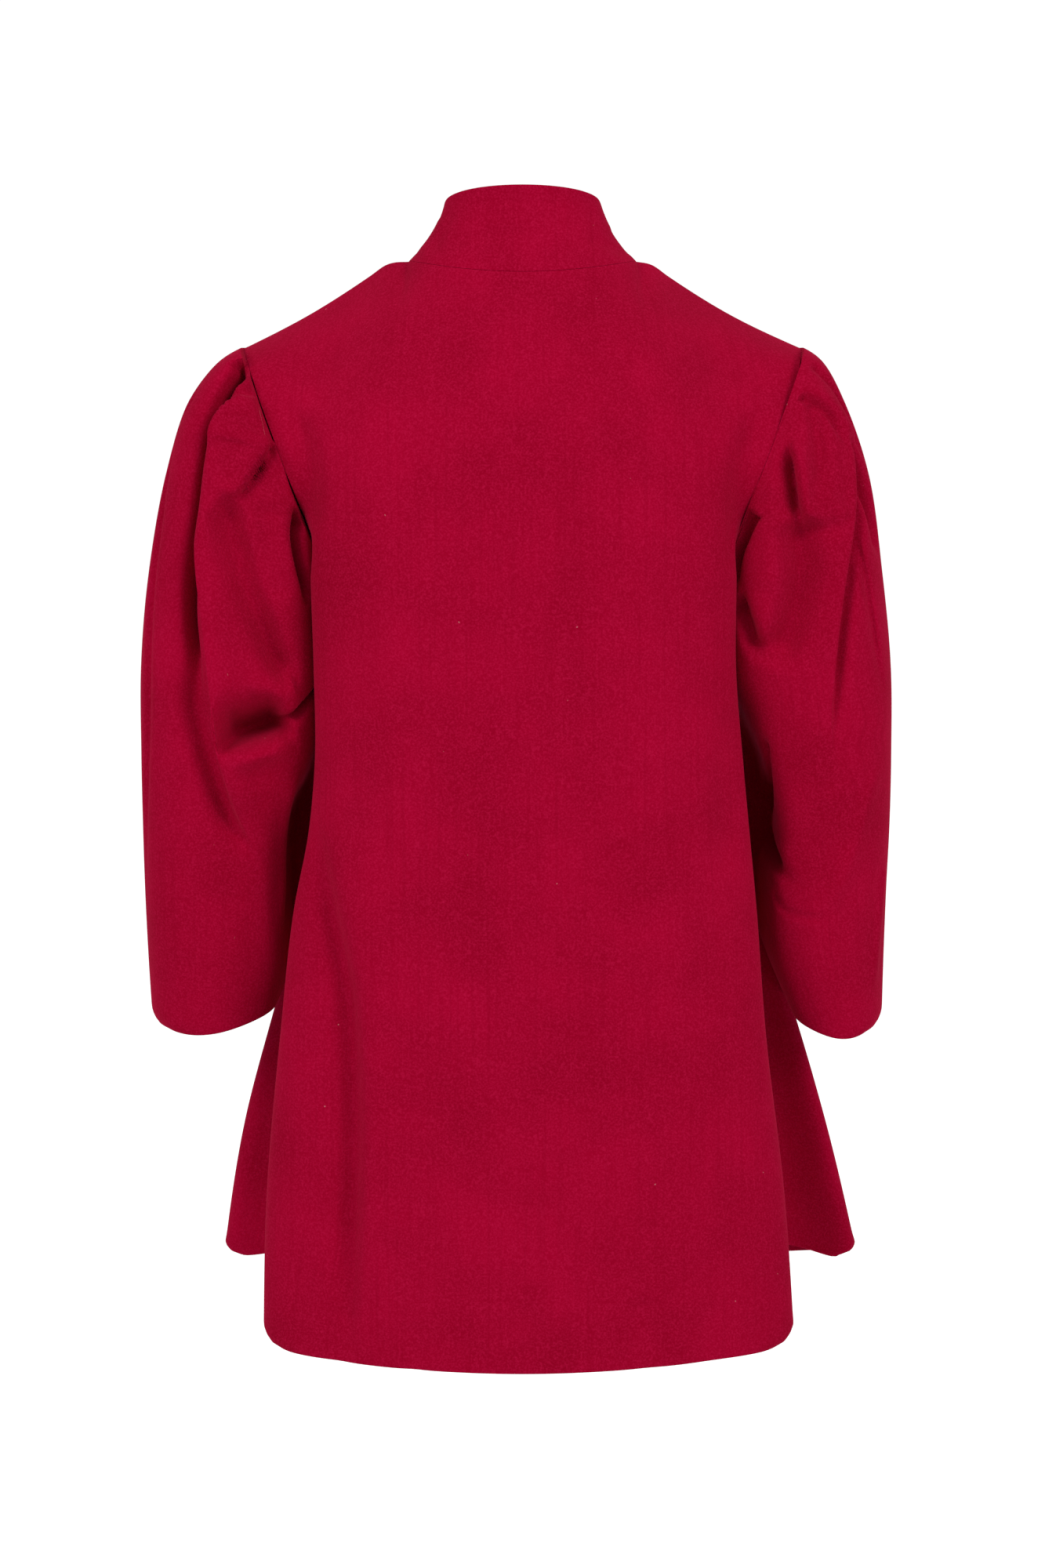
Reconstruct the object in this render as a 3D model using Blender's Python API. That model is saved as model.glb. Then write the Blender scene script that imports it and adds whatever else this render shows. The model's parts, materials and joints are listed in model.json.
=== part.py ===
"""Medieval surcoat: a short flared coat of red fulled wool, filled out as if worn.

Six pieces of cloth, as a maker would cut them: back, two fronts, a stand collar and two
wide sleeves whose heads are pleated into the armholes. Each piece is one closed wall of
cloth, hollow inside, open at the neck, the hem and the cuffs.

Metres, +Z up. X points to the wearer's right, Y points forwards. The origin is in the
middle of the neck, level with the inner ends of the shoulder seams.
"""
import math

import bmesh
import bpy
import numpy as np

# Cloth
CLOTH_WALL = 0.002        # fulled wool
COLLAR_WALL = 0.0035      # two layers with a stiffening between them
SEAM_GAP = 0.0003         # between neighbouring pieces
SLEEVE_GAP = 0.0006       # a little more round the armhole, where the cloth turns sharply

# Neck and collar
NECK_HALF_WIDTH = 0.097
NECK_MIDDLE_Y = -0.010
NECK_BACK = 0.065         # from the neck's middle back to the collar seam
NECK_FRONT = 0.095
NECK_BACK_DROP = 0.011
NECK_FRONT_DROP = 0.075
COLLAR_TOP_HALF_WIDTH = 0.066
COLLAR_TOP_BACK = 0.049
COLLAR_TOP_FRONT = 0.076
COLLAR_TOP_SIDE_Z = 0.047
COLLAR_BACK_RISE = 0.0135 # the top edge is higher at the back than at the sides
COLLAR_FRONT_FALL = 0.058
COLLAR_HOLLOW = 0.004     # how far the collar curves in between its seam and its edge

# Armhole: a loop from the shoulder point to the underarm point
SHOULDER_X = 0.236
SHOULDER_Z = -0.072
UNDERARM_X = 0.166
UNDERARM_Z = -0.262
ARMHOLE_BACK_Y = -0.080
ARMHOLE_FRONT_Y = 0.070
ARMHOLE_BOW = {-1: 0.0, 1: 0.010}   # outward bow of the loop on the left and the right
UNDERARM_DOWN = 0.252     # the underarm's place in the "down" column of the body rows

# Mesh density: quads along each stretch
NECK_COLUMNS = 6
SHOULDER_COLUMNS = 9
ARMHOLE_ROWS = 9
SKIRT_ROWS = 17
SLEEVE_COLUMNS = 36
SLEEVE_ROWS = 24
COLLAR_ROWS = 4

# Places of the control columns across half a panel: 0 at its middle, 1 at the side seam
NECK_PLACE = 0.42
CONTROL_PLACES = (0.0, 0.38, 0.70, 1.0)
MIRRORED_PLACE = -0.38
BEYOND_PLACE = 1.30       # the other panel's corner or lobe, past the side seam

WOOL_RED = (0.376, 0.0022, 0.0265, 1.0)
WOOL_ROUGHNESS = 0.95
SHARP_ANGLE = math.radians(60)


def table(names, *rows):
    """A short table: each named column as an array."""
    return dict(zip(names.split(), np.array(rows, dtype=float).T))


# The shoulder seam, from the neck to the shoulder point
SHOULDER = table(
    "left_x  right_x  z",
    (0.097, 0.097, 0.000),
    (0.116, 0.110, -0.0025),
    (0.130, 0.124, -0.0120),
    (0.175, 0.170, -0.0405),
    (0.236, 0.236, -0.0720))

# Rows down the back. The corner is where the back turns towards the side; left and right
# differ because the coat hangs a little to one side.
BACK = table(
    "down  centre_y centre_z  mid_x  mid_y  mid_z   left_x right_x corner_y corner_z",
    (0.063, -0.103, -0.072, 0.095, -0.083, -0.058, 0.165, 0.165, -0.058, -0.078),
    (0.112, -0.122, -0.120, 0.105, -0.111, -0.117, 0.170, 0.170, -0.092, -0.133),
    (0.154, -0.130, -0.163, 0.108, -0.122, -0.163, 0.168, 0.169, -0.100, -0.178),
    (0.203, -0.135, -0.213, 0.110, -0.130, -0.214, 0.170, 0.172, -0.100, -0.224),
    (0.252, -0.138, -0.262, 0.112, -0.134, -0.262, 0.175, 0.177, -0.092, -0.264),
    (0.330, -0.140, -0.340, 0.114, -0.136, -0.340, 0.174, 0.178, -0.088, -0.340),
    (0.410, -0.143, -0.420, 0.118, -0.138, -0.420, 0.174, 0.185, -0.088, -0.420),
    (0.470, -0.145, -0.480, 0.122, -0.139, -0.480, 0.180, 0.191, -0.089, -0.480),
    (0.530, -0.147, -0.540, 0.127, -0.140, -0.540, 0.192, 0.197, -0.091, -0.540),
    (0.640, -0.153, -0.650, 0.136, -0.143, -0.650, 0.205, 0.206, -0.094, -0.650),
    (0.770, -0.160, -0.780, 0.145, -0.147, -0.780, 0.217, 0.222, -0.098, -0.780),
    (0.910, -0.166, -0.924, 0.150, -0.151, -0.918, 0.221, 0.232, -0.101, -0.912))

# Rows down the fronts. The lobe is where the flared front swings out behind the back's edge.
FRONT = table(
    "down  centre_y centre_z  mid_x  mid_y  mid_z   left_x right_x lobe_y  lobe_z",
    (0.063, 0.100, -0.112, 0.088, 0.074, -0.095, 0.163, 0.163, 0.048, -0.088),
    (0.112, 0.113, -0.150, 0.100, 0.101, -0.142, 0.168, 0.168, 0.077, -0.143),
    (0.154, 0.121, -0.185, 0.105, 0.112, -0.180, 0.166, 0.166, 0.087, -0.184),
    (0.203, 0.127, -0.225, 0.110, 0.120, -0.222, 0.167, 0.167, 0.088, -0.227),
    (0.252, 0.130, -0.262, 0.112, 0.124, -0.262, 0.170, 0.170, 0.085, -0.263),
    (0.330, 0.132, -0.340, 0.112, 0.127, -0.340, 0.166, 0.166, 0.085, -0.340),
    (0.410, 0.133, -0.420, 0.114, 0.128, -0.420, 0.167, 0.169, 0.086, -0.420),
    (0.470, 0.135, -0.480, 0.117, 0.129, -0.480, 0.176, 0.181, 0.089, -0.480),
    (0.530, 0.138, -0.540, 0.121, 0.131, -0.540, 0.191, 0.200, 0.093, -0.538),
    (0.640, 0.147, -0.650, 0.130, 0.139, -0.648, 0.219, 0.238, 0.100, -0.643),
    (0.770, 0.158, -0.780, 0.140, 0.149, -0.776, 0.253, 0.276, 0.106, -0.768),
    (0.910, 0.168, -0.912, 0.150, 0.160, -0.908, 0.274, 0.307, 0.110, -0.898))

# The side seam lies at the bottom of the deep fold between the back and the lobe
SIDE = table(
    "down   left_x right_x  y       z",
    (0.252, 0.166, 0.166, -0.005, -0.262),
    (0.330, 0.160, 0.160, -0.004, -0.340),
    (0.410, 0.157, 0.158, -0.004, -0.420),
    (0.470, 0.157, 0.158, -0.004, -0.480),
    (0.530, 0.158, 0.160, -0.005, -0.540),
    (0.640, 0.160, 0.165, -0.008, -0.648),
    (0.770, 0.162, 0.170, -0.012, -0.776),
    (0.910, 0.164, 0.173, -0.016, -0.908))

# Rings down each sleeve, from the armhole to the cuff: the ring's outermost and innermost
# points as seen from behind, and how far it reaches back and forward
LEFT_SLEEVE = table(
    "down  outer_x outer_z  inner_x  inner_z  back_y  front_y",
    (0.00, 0.2360, -0.072, 0.1660, -0.262, -0.080, 0.070),
    (0.06, 0.2570, -0.085, 0.1710, -0.278, -0.091, 0.080),
    (0.14, 0.2830, -0.119, 0.1760, -0.300, -0.098, 0.088),
    (0.24, 0.3020, -0.178, 0.1790, -0.328, -0.100, 0.093),
    (0.36, 0.3180, -0.262, 0.1810, -0.362, -0.099, 0.097),
    (0.48, 0.3260, -0.340, 0.1820, -0.398, -0.095, 0.101),
    (0.60, 0.3275, -0.415, 0.1850, -0.436, -0.088, 0.104),
    (0.70, 0.3275, -0.475, 0.2040, -0.480, -0.081, 0.106),
    (0.80, 0.3270, -0.535, 0.2070, -0.535, -0.074, 0.107),
    (0.90, 0.3255, -0.595, 0.2030, -0.588, -0.067, 0.107),
    (1.00, 0.3230, -0.655, 0.2140, -0.640, -0.058, 0.106))
RIGHT_SLEEVE = table(
    "down  outer_x outer_z  inner_x  inner_z  back_y  front_y",
    (0.00, 0.2360, -0.072, 0.1660, -0.262, -0.080, 0.070),
    (0.06, 0.2530, -0.084, 0.1710, -0.277, -0.091, 0.080),
    (0.14, 0.2720, -0.118, 0.1760, -0.298, -0.098, 0.088),
    (0.24, 0.2930, -0.178, 0.1790, -0.324, -0.100, 0.093),
    (0.36, 0.3060, -0.262, 0.1820, -0.352, -0.099, 0.097),
    (0.48, 0.3145, -0.340, 0.1960, -0.385, -0.095, 0.101),
    (0.60, 0.3165, -0.415, 0.2090, -0.435, -0.088, 0.104),
    (0.70, 0.3165, -0.475, 0.2160, -0.485, -0.081, 0.106),
    (0.80, 0.3150, -0.535, 0.2090, -0.535, -0.074, 0.107),
    (0.90, 0.3140, -0.595, 0.2120, -0.587, -0.067, 0.107),
    (1.00, 0.3135, -0.655, 0.2350, -0.648, -0.058, 0.106))
CUFF_DIP = 0.010          # the cuff hangs lower behind and in front than at its sides
CUFF_DIP_START = 0.75


def fold(kind, depth, width, *places, front=False):
    """A fold of the cloth: a line of (outward x, z) places, seen from behind or in front."""
    return {"kind": kind, "depth": depth, "width": width, "front": front,
            "line": np.array(places, dtype=float)}


# The pleats run from the armhole seam down the sleeve. A valley is pressed in, a ridge
# stands out, and a step is a pleat's edge: the cloth on one side of it lies higher.
LEFT_SLEEVE_FOLDS = (
    fold("valley", 0.017, 0.009, (0.235, -0.090), (0.257, -0.122), (0.265, -0.154),
         (0.274, -0.215), (0.284, -0.307), (0.278, -0.370), (0.262, -0.440), (0.232, -0.500)),
    fold("step in", 0.006, 0.006, (0.223, -0.115), (0.246, -0.130), (0.256, -0.160),
         (0.265, -0.229), (0.261, -0.350), (0.249, -0.425), (0.223, -0.498)),
    fold("step out", 0.006, 0.007, (0.205, -0.151), (0.219, -0.171), (0.236, -0.200)),
    fold("valley", 0.010, 0.013, (0.236, -0.192), (0.243, -0.215), (0.230, -0.274),
         (0.202, -0.335), (0.184, -0.366)),
    fold("valley", 0.012, 0.012, (0.174, -0.362), (0.200, -0.380), (0.246, -0.396)),
    fold("valley", 0.013, 0.010, (0.230, -0.095), (0.255, -0.135), (0.272, -0.205),
         (0.286, -0.300), (0.280, -0.390), front=True),
    fold("step in", 0.006, 0.007, (0.215, -0.130), (0.238, -0.160), (0.250, -0.220),
         (0.252, -0.320), (0.240, -0.420), front=True),
    fold("valley", 0.009, 0.012, (0.198, -0.170), (0.216, -0.205), (0.218, -0.270),
         (0.204, -0.350), front=True),
    fold("valley", 0.012, 0.014, (0.190, -0.385), (0.225, -0.400), (0.285, -0.380), front=True),
    fold("valley", 0.008, 0.013, (0.205, -0.440), (0.250, -0.440), (0.300, -0.410), front=True))
RIGHT_SLEEVE_FOLDS = (
    fold("valley", 0.010, 0.008, (0.236, -0.084), (0.257, -0.102), (0.274, -0.139),
         (0.284, -0.180), (0.296, -0.235), (0.303, -0.330)),
    fold("ridge", 0.006, 0.009, (0.233, -0.106), (0.263, -0.128), (0.277, -0.190),
         (0.274, -0.263), (0.266, -0.341), (0.268, -0.439)),
    fold("valley", 0.011, 0.008, (0.231, -0.117), (0.247, -0.129), (0.259, -0.139),
         (0.270, -0.160)),
    fold("valley", 0.007, 0.007, (0.231, -0.118), (0.241, -0.140), (0.249, -0.184),
         (0.252, -0.205)),
    fold("valley", 0.014, 0.008, (0.217, -0.158), (0.227, -0.170), (0.229, -0.200),
         (0.228, -0.226)),
    fold("valley", 0.010, 0.015, (0.230, -0.205), (0.228, -0.262), (0.224, -0.310),
         (0.206, -0.360)),
    fold("valley", 0.009, 0.010, (0.212, -0.492), (0.226, -0.518), (0.246, -0.536)),
    fold("valley", 0.013, 0.010, (0.232, -0.092), (0.254, -0.132), (0.268, -0.200),
         (0.280, -0.300), (0.276, -0.380), front=True),
    fold("step in", 0.006, 0.007, (0.220, -0.128), (0.240, -0.158), (0.248, -0.220),
         (0.250, -0.320), (0.244, -0.410), front=True),
    fold("valley", 0.009, 0.012, (0.204, -0.165), (0.220, -0.205), (0.218, -0.280),
         (0.208, -0.345), front=True),
    fold("valley", 0.011, 0.014, (0.205, -0.395), (0.240, -0.400), (0.285, -0.375), front=True))

# Soft hollows of the body: depth, width, and (x, z) places; positive x is the wearer's right
BACK_FOLDS = (
    fold("valley", 0.007, 0.018, (-0.190, -0.112), (-0.176, -0.150), (-0.172, -0.190),
         (-0.176, -0.225)),
    fold("valley", 0.008, 0.018, (0.192, -0.115), (0.179, -0.155), (0.173, -0.200),
         (0.174, -0.245)),
    fold("valley", 0.010, 0.016, (-0.172, -0.445), (-0.160, -0.504), (-0.146, -0.575),
         (-0.136, -0.697), (-0.138, -0.800), (-0.142, -0.930)),
    fold("valley", 0.005, 0.014, (0.176, -0.370), (0.172, -0.430), (0.170, -0.520)),
    fold("valley", 0.003, 0.020, (-0.057, -0.180), (-0.058, -0.410), (-0.052, -0.560)))
FRONT_FOLDS = (
    fold("valley", 0.007, 0.018, (-0.186, -0.118), (-0.172, -0.160), (-0.166, -0.220)),
    fold("valley", 0.007, 0.018, (0.187, -0.116), (0.174, -0.158), (0.168, -0.215)),
    fold("valley", 0.010, 0.020, (-0.110, -0.430), (-0.116, -0.600), (-0.128, -0.780),
         (-0.134, -0.915)),
    fold("valley", 0.011, 0.020, (0.122, -0.400), (0.134, -0.580), (0.150, -0.760),
         (0.158, -0.915)),
    fold("valley", 0.006, 0.016, (-0.205, -0.660), (-0.213, -0.780), (-0.220, -0.905)))


def ease(value, low, high):
    """0 below low, 1 above high, and a smooth S between them."""
    x = np.clip((value - low) / (high - low), 0.0, 1.0)
    return x * x * (3.0 - 2.0 * x)


def through(knots, values, at):
    """A smooth curve through the values at the knots, read at other places."""
    knots = np.asarray(knots, dtype=float)
    values = np.asarray(values, dtype=float)
    flat = values.reshape(len(knots), -1)
    steps = np.diff(knots)[:, None]
    chords = np.diff(flat, axis=0) / steps
    slopes = np.empty_like(flat)
    slopes[1:-1] = (chords[:-1] * steps[1:] + chords[1:] * steps[:-1]) / (steps[1:] + steps[:-1])
    slopes[0] = 1.5 * chords[0] - 0.5 * slopes[1]
    slopes[-1] = 1.5 * chords[-1] - 0.5 * slopes[-2]
    at = np.asarray(at, dtype=float)
    i = np.clip(np.searchsorted(knots, at, side="right") - 1, 0, len(knots) - 2)
    length = steps[i]
    x = (at - knots[i])[:, None] / length
    curve = ((1 + 2 * x) * (1 - x) ** 2 * flat[i] + x * (1 - x) ** 2 * length * slopes[i]
             + x * x * (3 - 2 * x) * flat[i + 1] + x * x * (x - 1) * length * slopes[i + 1])
    return curve.reshape((len(at),) + values.shape[1:])


def neckline(turn):
    """The collar seam: turn 0 at the middle of the back, 90 at the shoulder, 180 in front."""
    angle = np.radians(turn)
    behind = np.cos(angle) > 0
    x = NECK_HALF_WIDTH * np.sin(angle)
    y = NECK_MIDDLE_Y - np.where(behind, NECK_BACK, NECK_FRONT) * np.cos(angle)
    z = np.where(behind, -NECK_BACK_DROP * np.cos(angle) ** 2,
                 -NECK_FRONT_DROP * np.abs(np.cos(angle)) ** 1.5)
    return np.stack([x, y, z], axis=-1)


def collar_top(turn):
    """The collar's free edge, by the same turn."""
    angle = np.radians(turn)
    behind = np.cos(angle) > 0
    x = COLLAR_TOP_HALF_WIDTH * np.sin(angle)
    y = NECK_MIDDLE_Y - np.where(behind, COLLAR_TOP_BACK, COLLAR_TOP_FRONT) * np.cos(angle)
    lean = np.abs(np.cos(angle))
    z = COLLAR_TOP_SIDE_Z + np.where(behind, COLLAR_BACK_RISE * lean ** 0.8,
                                     -COLLAR_FRONT_FALL * lean ** 1.3)
    return np.stack([x, y, z], axis=-1)


def armhole(turn, side, front=False):
    """The armhole seam: turn 0 at the shoulder point, 180 at the underarm."""
    angle = np.radians(turn)
    fall = (1 - np.cos(angle)) / 2
    middle = (ARMHOLE_BACK_Y + ARMHOLE_FRONT_Y) / 2
    reach = (ARMHOLE_FRONT_Y - middle) * (1 if front else -1)
    x = SHOULDER_X + (UNDERARM_X - SHOULDER_X) * fall + ARMHOLE_BOW[side] * np.sin(math.pi * fall)
    z = SHOULDER_Z + (UNDERARM_Z - SHOULDER_Z) * fall
    return np.stack([side * x, middle + reach * np.sin(angle), z], axis=-1)


def top_edge(side, front):
    """The upper edge of half a panel: neckline, then shoulder seam."""
    turns = np.linspace(180.0 if front else 0.0, 90.0, NECK_COLUMNS + 1)
    neck = neckline(turns) * (side, 1, 1)
    across = SHOULDER["left_x" if side < 0 else "right_x"]
    xs = np.linspace(across[0], across[-1], SHOULDER_COLUMNS + 1)[1:]
    middle = (ARMHOLE_BACK_Y + ARMHOLE_FRONT_Y) / 2
    shoulder = np.stack([
        side * xs,
        np.interp(xs, (across[0], across[-1]), (NECK_MIDDLE_Y, middle)),
        through(across, SHOULDER["z"], xs)], axis=-1)
    return np.concatenate([neck, shoulder])


def body_rows():
    """The rows' places: the armhole's turns first, then even steps down to the hem."""
    upper = np.linspace(0.0, UNDERARM_DOWN, ARMHOLE_ROWS + 1)
    lower = np.linspace(UNDERARM_DOWN, BACK["down"][-1], SKIRT_ROWS + 1)
    return np.concatenate([upper, lower[1:]])


def level_points(level, side, front):
    """Control points of one row of half a panel: middle, mid, corner or lobe, then the edge."""
    rows = FRONT if front else BACK
    outer = "lobe" if front else "corner"
    near = "left_x" if side < 0 else "right_x"
    points = [
        (0.0, rows["centre_y"][level], rows["centre_z"][level]),
        (side * rows["mid_x"][level], rows["mid_y"][level], rows["mid_z"][level]),
        (side * rows[near][level], rows[outer + "_y"][level], rows[outer + "_z"][level])]
    down = rows["down"][level]
    if down < UNDERARM_DOWN:
        points.append(armhole(180.0 * down / UNDERARM_DOWN, side, front))
    else:
        seam = int(np.argmin(np.abs(SIDE["down"] - down)))
        points.append((side * SIDE[near][seam], SIDE["y"][seam], SIDE["z"][seam]))
    return np.array(points)


def half_panel(side, front):
    """Half the back, or one front: a grid of places, rows down, columns middle to side."""
    places = np.concatenate([np.linspace(0.0, NECK_PLACE, NECK_COLUMNS + 1),
                             np.linspace(NECK_PLACE, 1.0, SHOULDER_COLUMNS + 1)[1:]])
    lines = [top_edge(side, front)]
    for level, down in enumerate(BACK["down"]):
        own = level_points(level, side, front)
        other = level_points(level, side, not front)
        knots = [MIRRORED_PLACE, *CONTROL_PLACES]
        points = [own[1] * (-1, 1, 1), *own]
        if down >= UNDERARM_DOWN:
            knots.append(BEYOND_PLACE)
            points.append(other[2])
        lines.append(through(knots, points, places))
    lines = np.array(lines)
    knots = np.concatenate([[0.0], BACK["down"]])
    rows = body_rows()
    grid = through(knots, lines, rows)
    # The armhole turns sharply into the side seam, so the columns near it turn there too
    upper = knots <= UNDERARM_DOWN
    lower = knots >= UNDERARM_DOWN
    turned = np.concatenate([
        through(knots[upper], lines[upper], rows[:ARMHOLE_ROWS]),
        through(knots[lower], lines[lower], rows[ARMHOLE_ROWS:])])
    sharp = ease(places, NECK_PLACE, 1.0)[None, :, None]
    grid += (turned - grid) * sharp
    grid[:ARMHOLE_ROWS + 1, -1] = armhole(np.linspace(0.0, 180.0, ARMHOLE_ROWS + 1), side, front)
    return grid


def normals(grid, closed=False):
    """Unit directions square to the cloth at each crossing of the grid."""
    down = np.gradient(grid, axis=0)
    if closed:
        wrapped = np.concatenate([grid[:, -2:-1], grid, grid[:, 1:2]], axis=1)
        across = np.gradient(wrapped, axis=1)[:, 1:-1]
    else:
        across = np.gradient(grid, axis=1)
    square = np.cross(down, across)
    return square / np.linalg.norm(square, axis=-1, keepdims=True)


def nearest(points, line):
    """Each point's offset from a line of places, and how far along the line it is, 0 to 1."""
    lengths = np.linalg.norm(np.diff(line, axis=0), axis=1)
    starts = np.concatenate([[0.0], np.cumsum(lengths)]) / lengths.sum()
    best = np.full(len(points), np.inf)
    offset = np.zeros_like(points)
    along = np.zeros(len(points))
    for start, end, length, place in zip(line[:-1], line[1:], lengths, starts):
        run = end - start
        x = np.clip((points - start) @ run / length ** 2, 0.0, 1.0)
        gap = points - start - x[:, None] * run
        far = np.linalg.norm(gap, axis=1)
        closer = far < best
        best[closer] = far[closer]
        offset[closer] = gap[closer]
        along[closer] = place + x[closer] * length / lengths.sum()
    return offset, best, along


def relief(item, far, along, inward):
    """How far a fold moves the cloth outwards, by the distance from the fold's line."""
    reach = ease(along, 0.0, 0.10) * ease(1.0 - along, 0.0, 0.22)
    bell = np.exp(-(far / item["width"]) ** 2)
    if item["kind"] == "valley":
        return -item["depth"] * reach * bell
    if item["kind"] == "ridge":
        return item["depth"] * reach * bell
    signed = inward if item["kind"] == "step in" else -inward
    lip = 1 / (1 + np.exp(-6 * signed / item["width"]))
    fade = np.exp(-(far / (5 * item["width"])) ** 2)
    return item["depth"] * reach * (lip - 0.5) * fade


def body_relief(grid, folds, front):
    """Press the soft hollows into a panel, inwards along y, where it faces back or front."""
    flat = grid.reshape(-1, 3)
    facing = 1 if front else -1
    rise = np.zeros(len(flat))
    for item in folds:
        knots = np.linspace(0, 1, len(item["line"]))
        line = through(knots, item["line"], np.linspace(0, 1, 20))
        _, far, along = nearest(flat[:, (0, 2)], line)
        rise += relief(item, far, along, far)
    rise *= ease(facing * normals(grid)[..., 1].ravel(), 0.1, 0.6)
    moved = flat + np.outer(rise, (0, facing, 0))
    return moved.reshape(grid.shape)


def body_panels():
    """The back, the left front and the right front as grids of places on the outer face."""
    halves = {(side, front): half_panel(side, front) for side in (-1, 1) for front in (0, 1)}
    back = np.concatenate([halves[-1, 0][:, ::-1], halves[1, 0][:, 1:]], axis=1)
    back = body_relief(back, BACK_FOLDS, front=False) - (0, SEAM_GAP * 0.6, 0)
    left = body_relief(halves[-1, 1], FRONT_FOLDS, front=True) + (0, SEAM_GAP * 0.6, 0)
    right = body_relief(halves[1, 1][:, ::-1], FRONT_FOLDS, front=True) + (0, SEAM_GAP * 0.6, 0)
    left[:, 0, 0] -= SEAM_GAP * 0.6
    right[:, -1, 0] += SEAM_GAP * 0.6
    return back, left, right


def sleeve_ring(rows, down):
    """Centre, half-span towards the outer side, half-depth and middle y of a sleeve ring."""
    columns = np.stack([rows[name] for name in
                        ("outer_x", "outer_z", "inner_x", "inner_z", "back_y", "front_y")],
                       axis=-1)
    return through(rows["down"], columns, down)


def sleeve_places(rows, down, turn):
    """Places on a sleeve: turn 0 at the outer side, 180 at the inner, positive behind."""
    ring = sleeve_ring(rows, down)
    angle = np.radians(turn)
    out = (1 + np.cos(angle)) / 2
    x = ring[:, 2] + (ring[:, 0] - ring[:, 2]) * out
    z = ring[:, 3] + (ring[:, 1] - ring[:, 3]) * out
    middle = (ring[:, 4] + ring[:, 5]) / 2
    depth = (ring[:, 5] - ring[:, 4]) / 2
    y = middle - depth * np.sin(angle)
    dip = CUFF_DIP * ease(down, CUFF_DIP_START, 1.0) * np.sin(angle) ** 2
    return np.stack([x, y, z - dip], axis=-1)


def sleeve_find(rows, line):
    """The (down, turn) of places seen from behind, by the ring whose span they lie on."""
    downs = np.linspace(0.0, 1.0, 241)
    ring = sleeve_ring(rows, downs)
    found = []
    for x, z in line:
        span_x = ring[:, 2] - ring[:, 0]
        span_z = ring[:, 3] - ring[:, 1]
        miss = span_x * (z - ring[:, 1]) - span_z * (x - ring[:, 0])
        down = np.interp(0.0, -miss, downs)
        outer_x, outer_z, inner_x, inner_z = sleeve_ring(rows, np.array([down]))[0, :4]
        part = ((x - outer_x) * (inner_x - outer_x) + (z - outer_z) * (inner_z - outer_z)) / (
            (inner_x - outer_x) ** 2 + (inner_z - outer_z) ** 2)
        found.append((down, math.degrees(math.acos(1 - 2 * min(max(part, 0.0), 1.0)))))
    return np.array(found)


def sleeve_turns(tracks, downs):
    """Turns of the columns on each ring, closer together where folds run down the sleeve."""
    even = np.linspace(0.0, 360.0, 721)
    turns = []
    for down in downs:
        density = np.ones_like(even)
        for track in tracks:
            order = np.argsort(track[:, 0])
            at = np.interp(down, track[order, 0], track[order, 1])
            density += 2.0 * ease(down, 0.02, 0.12) * np.exp(-((even - at) / 11.0) ** 2)
        total = np.concatenate([[0.0], np.cumsum((density[1:] + density[:-1]) / 2)])
        turns.append(np.interp(np.linspace(0, total[-1], SLEEVE_COLUMNS + 1), total, even))
    return np.array(turns)


def sleeve_grid(side, seam_back, seam_front):
    """One sleeve's outer face, a closed grid: rows down, columns round from the outer side."""
    rows, folds = ((LEFT_SLEEVE, LEFT_SLEEVE_FOLDS) if side < 0
                   else (RIGHT_SLEEVE, RIGHT_SLEEVE_FOLDS))
    found = [sleeve_find(rows, item["line"]) for item in folds]
    for track, item in zip(found, folds):
        if item["front"]:
            track[:, 1] = 360.0 - track[:, 1]
    long_tracks = [track for track in found if np.ptp(track[:, 0]) > 0.2]
    downs = np.linspace(0.0, 1.0, SLEEVE_ROWS + 1)
    turns = sleeve_turns(long_tracks, downs)
    down_at = np.repeat(downs, SLEEVE_COLUMNS + 1)
    base = sleeve_places(rows, down_at, turns.ravel())
    square = normals(base.reshape(turns.shape + (3,)), closed=True).reshape(-1, 3)
    rise = np.zeros(len(base))
    for track, item in zip(found, folds):
        knots = np.linspace(0, 1, len(track))
        fine = through(knots, track, np.linspace(0, 1, 24))
        line = sleeve_places(rows, np.clip(fine[:, 0], 0, 1), fine[:, 1])
        offset, far, along = nearest(base, line)
        rise += relief(item, far, along, -offset[:, 0])
    rise *= ease(down_at, 0.0, 0.05)
    grid = (base - rise[:, None] * square).reshape(turns.shape + (3,)) * (side, 1, 1)
    loop = np.concatenate([seam_back, seam_front[::-1][1:]])
    loop[0] = loop[-1] = (loop[0] + loop[-1]) / 2
    loop_turns = np.linspace(0.0, 360.0, len(loop))
    grid[0] = np.stack([np.interp(turns[0], loop_turns, part) for part in loop.T], axis=-1)
    return grid + (side * SLEEVE_GAP, 0, 0)


def collar_grid():
    """The collar's outer face, rows up, from the left front edge round the back."""
    half = np.concatenate([np.linspace(0.0, 90.0, NECK_COLUMNS + 1),
                           np.linspace(90.0, 180.0, NECK_COLUMNS + 1)[1:]])
    turns = np.concatenate([-half[::-1], half[1:]])
    base = neckline(turns)
    top = collar_top(turns)
    heights = np.linspace(0.0, 1.0, COLLAR_ROWS + 1)[:, None, None]
    rise = top - base
    along = np.gradient(base, axis=0)
    square = np.cross(along, rise)
    square /= np.linalg.norm(square, axis=-1, keepdims=True)
    lift = SLEEVE_GAP * rise / np.linalg.norm(rise, axis=-1, keepdims=True)
    hollow = COLLAR_HOLLOW * 4 * heights * (1 - heights)
    grid = base + lift + rise * heights - hollow * square
    grid[:, 0, 0] -= SEAM_GAP * 0.6
    grid[:, -1, 0] += SEAM_GAP * 0.6
    return grid


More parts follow.
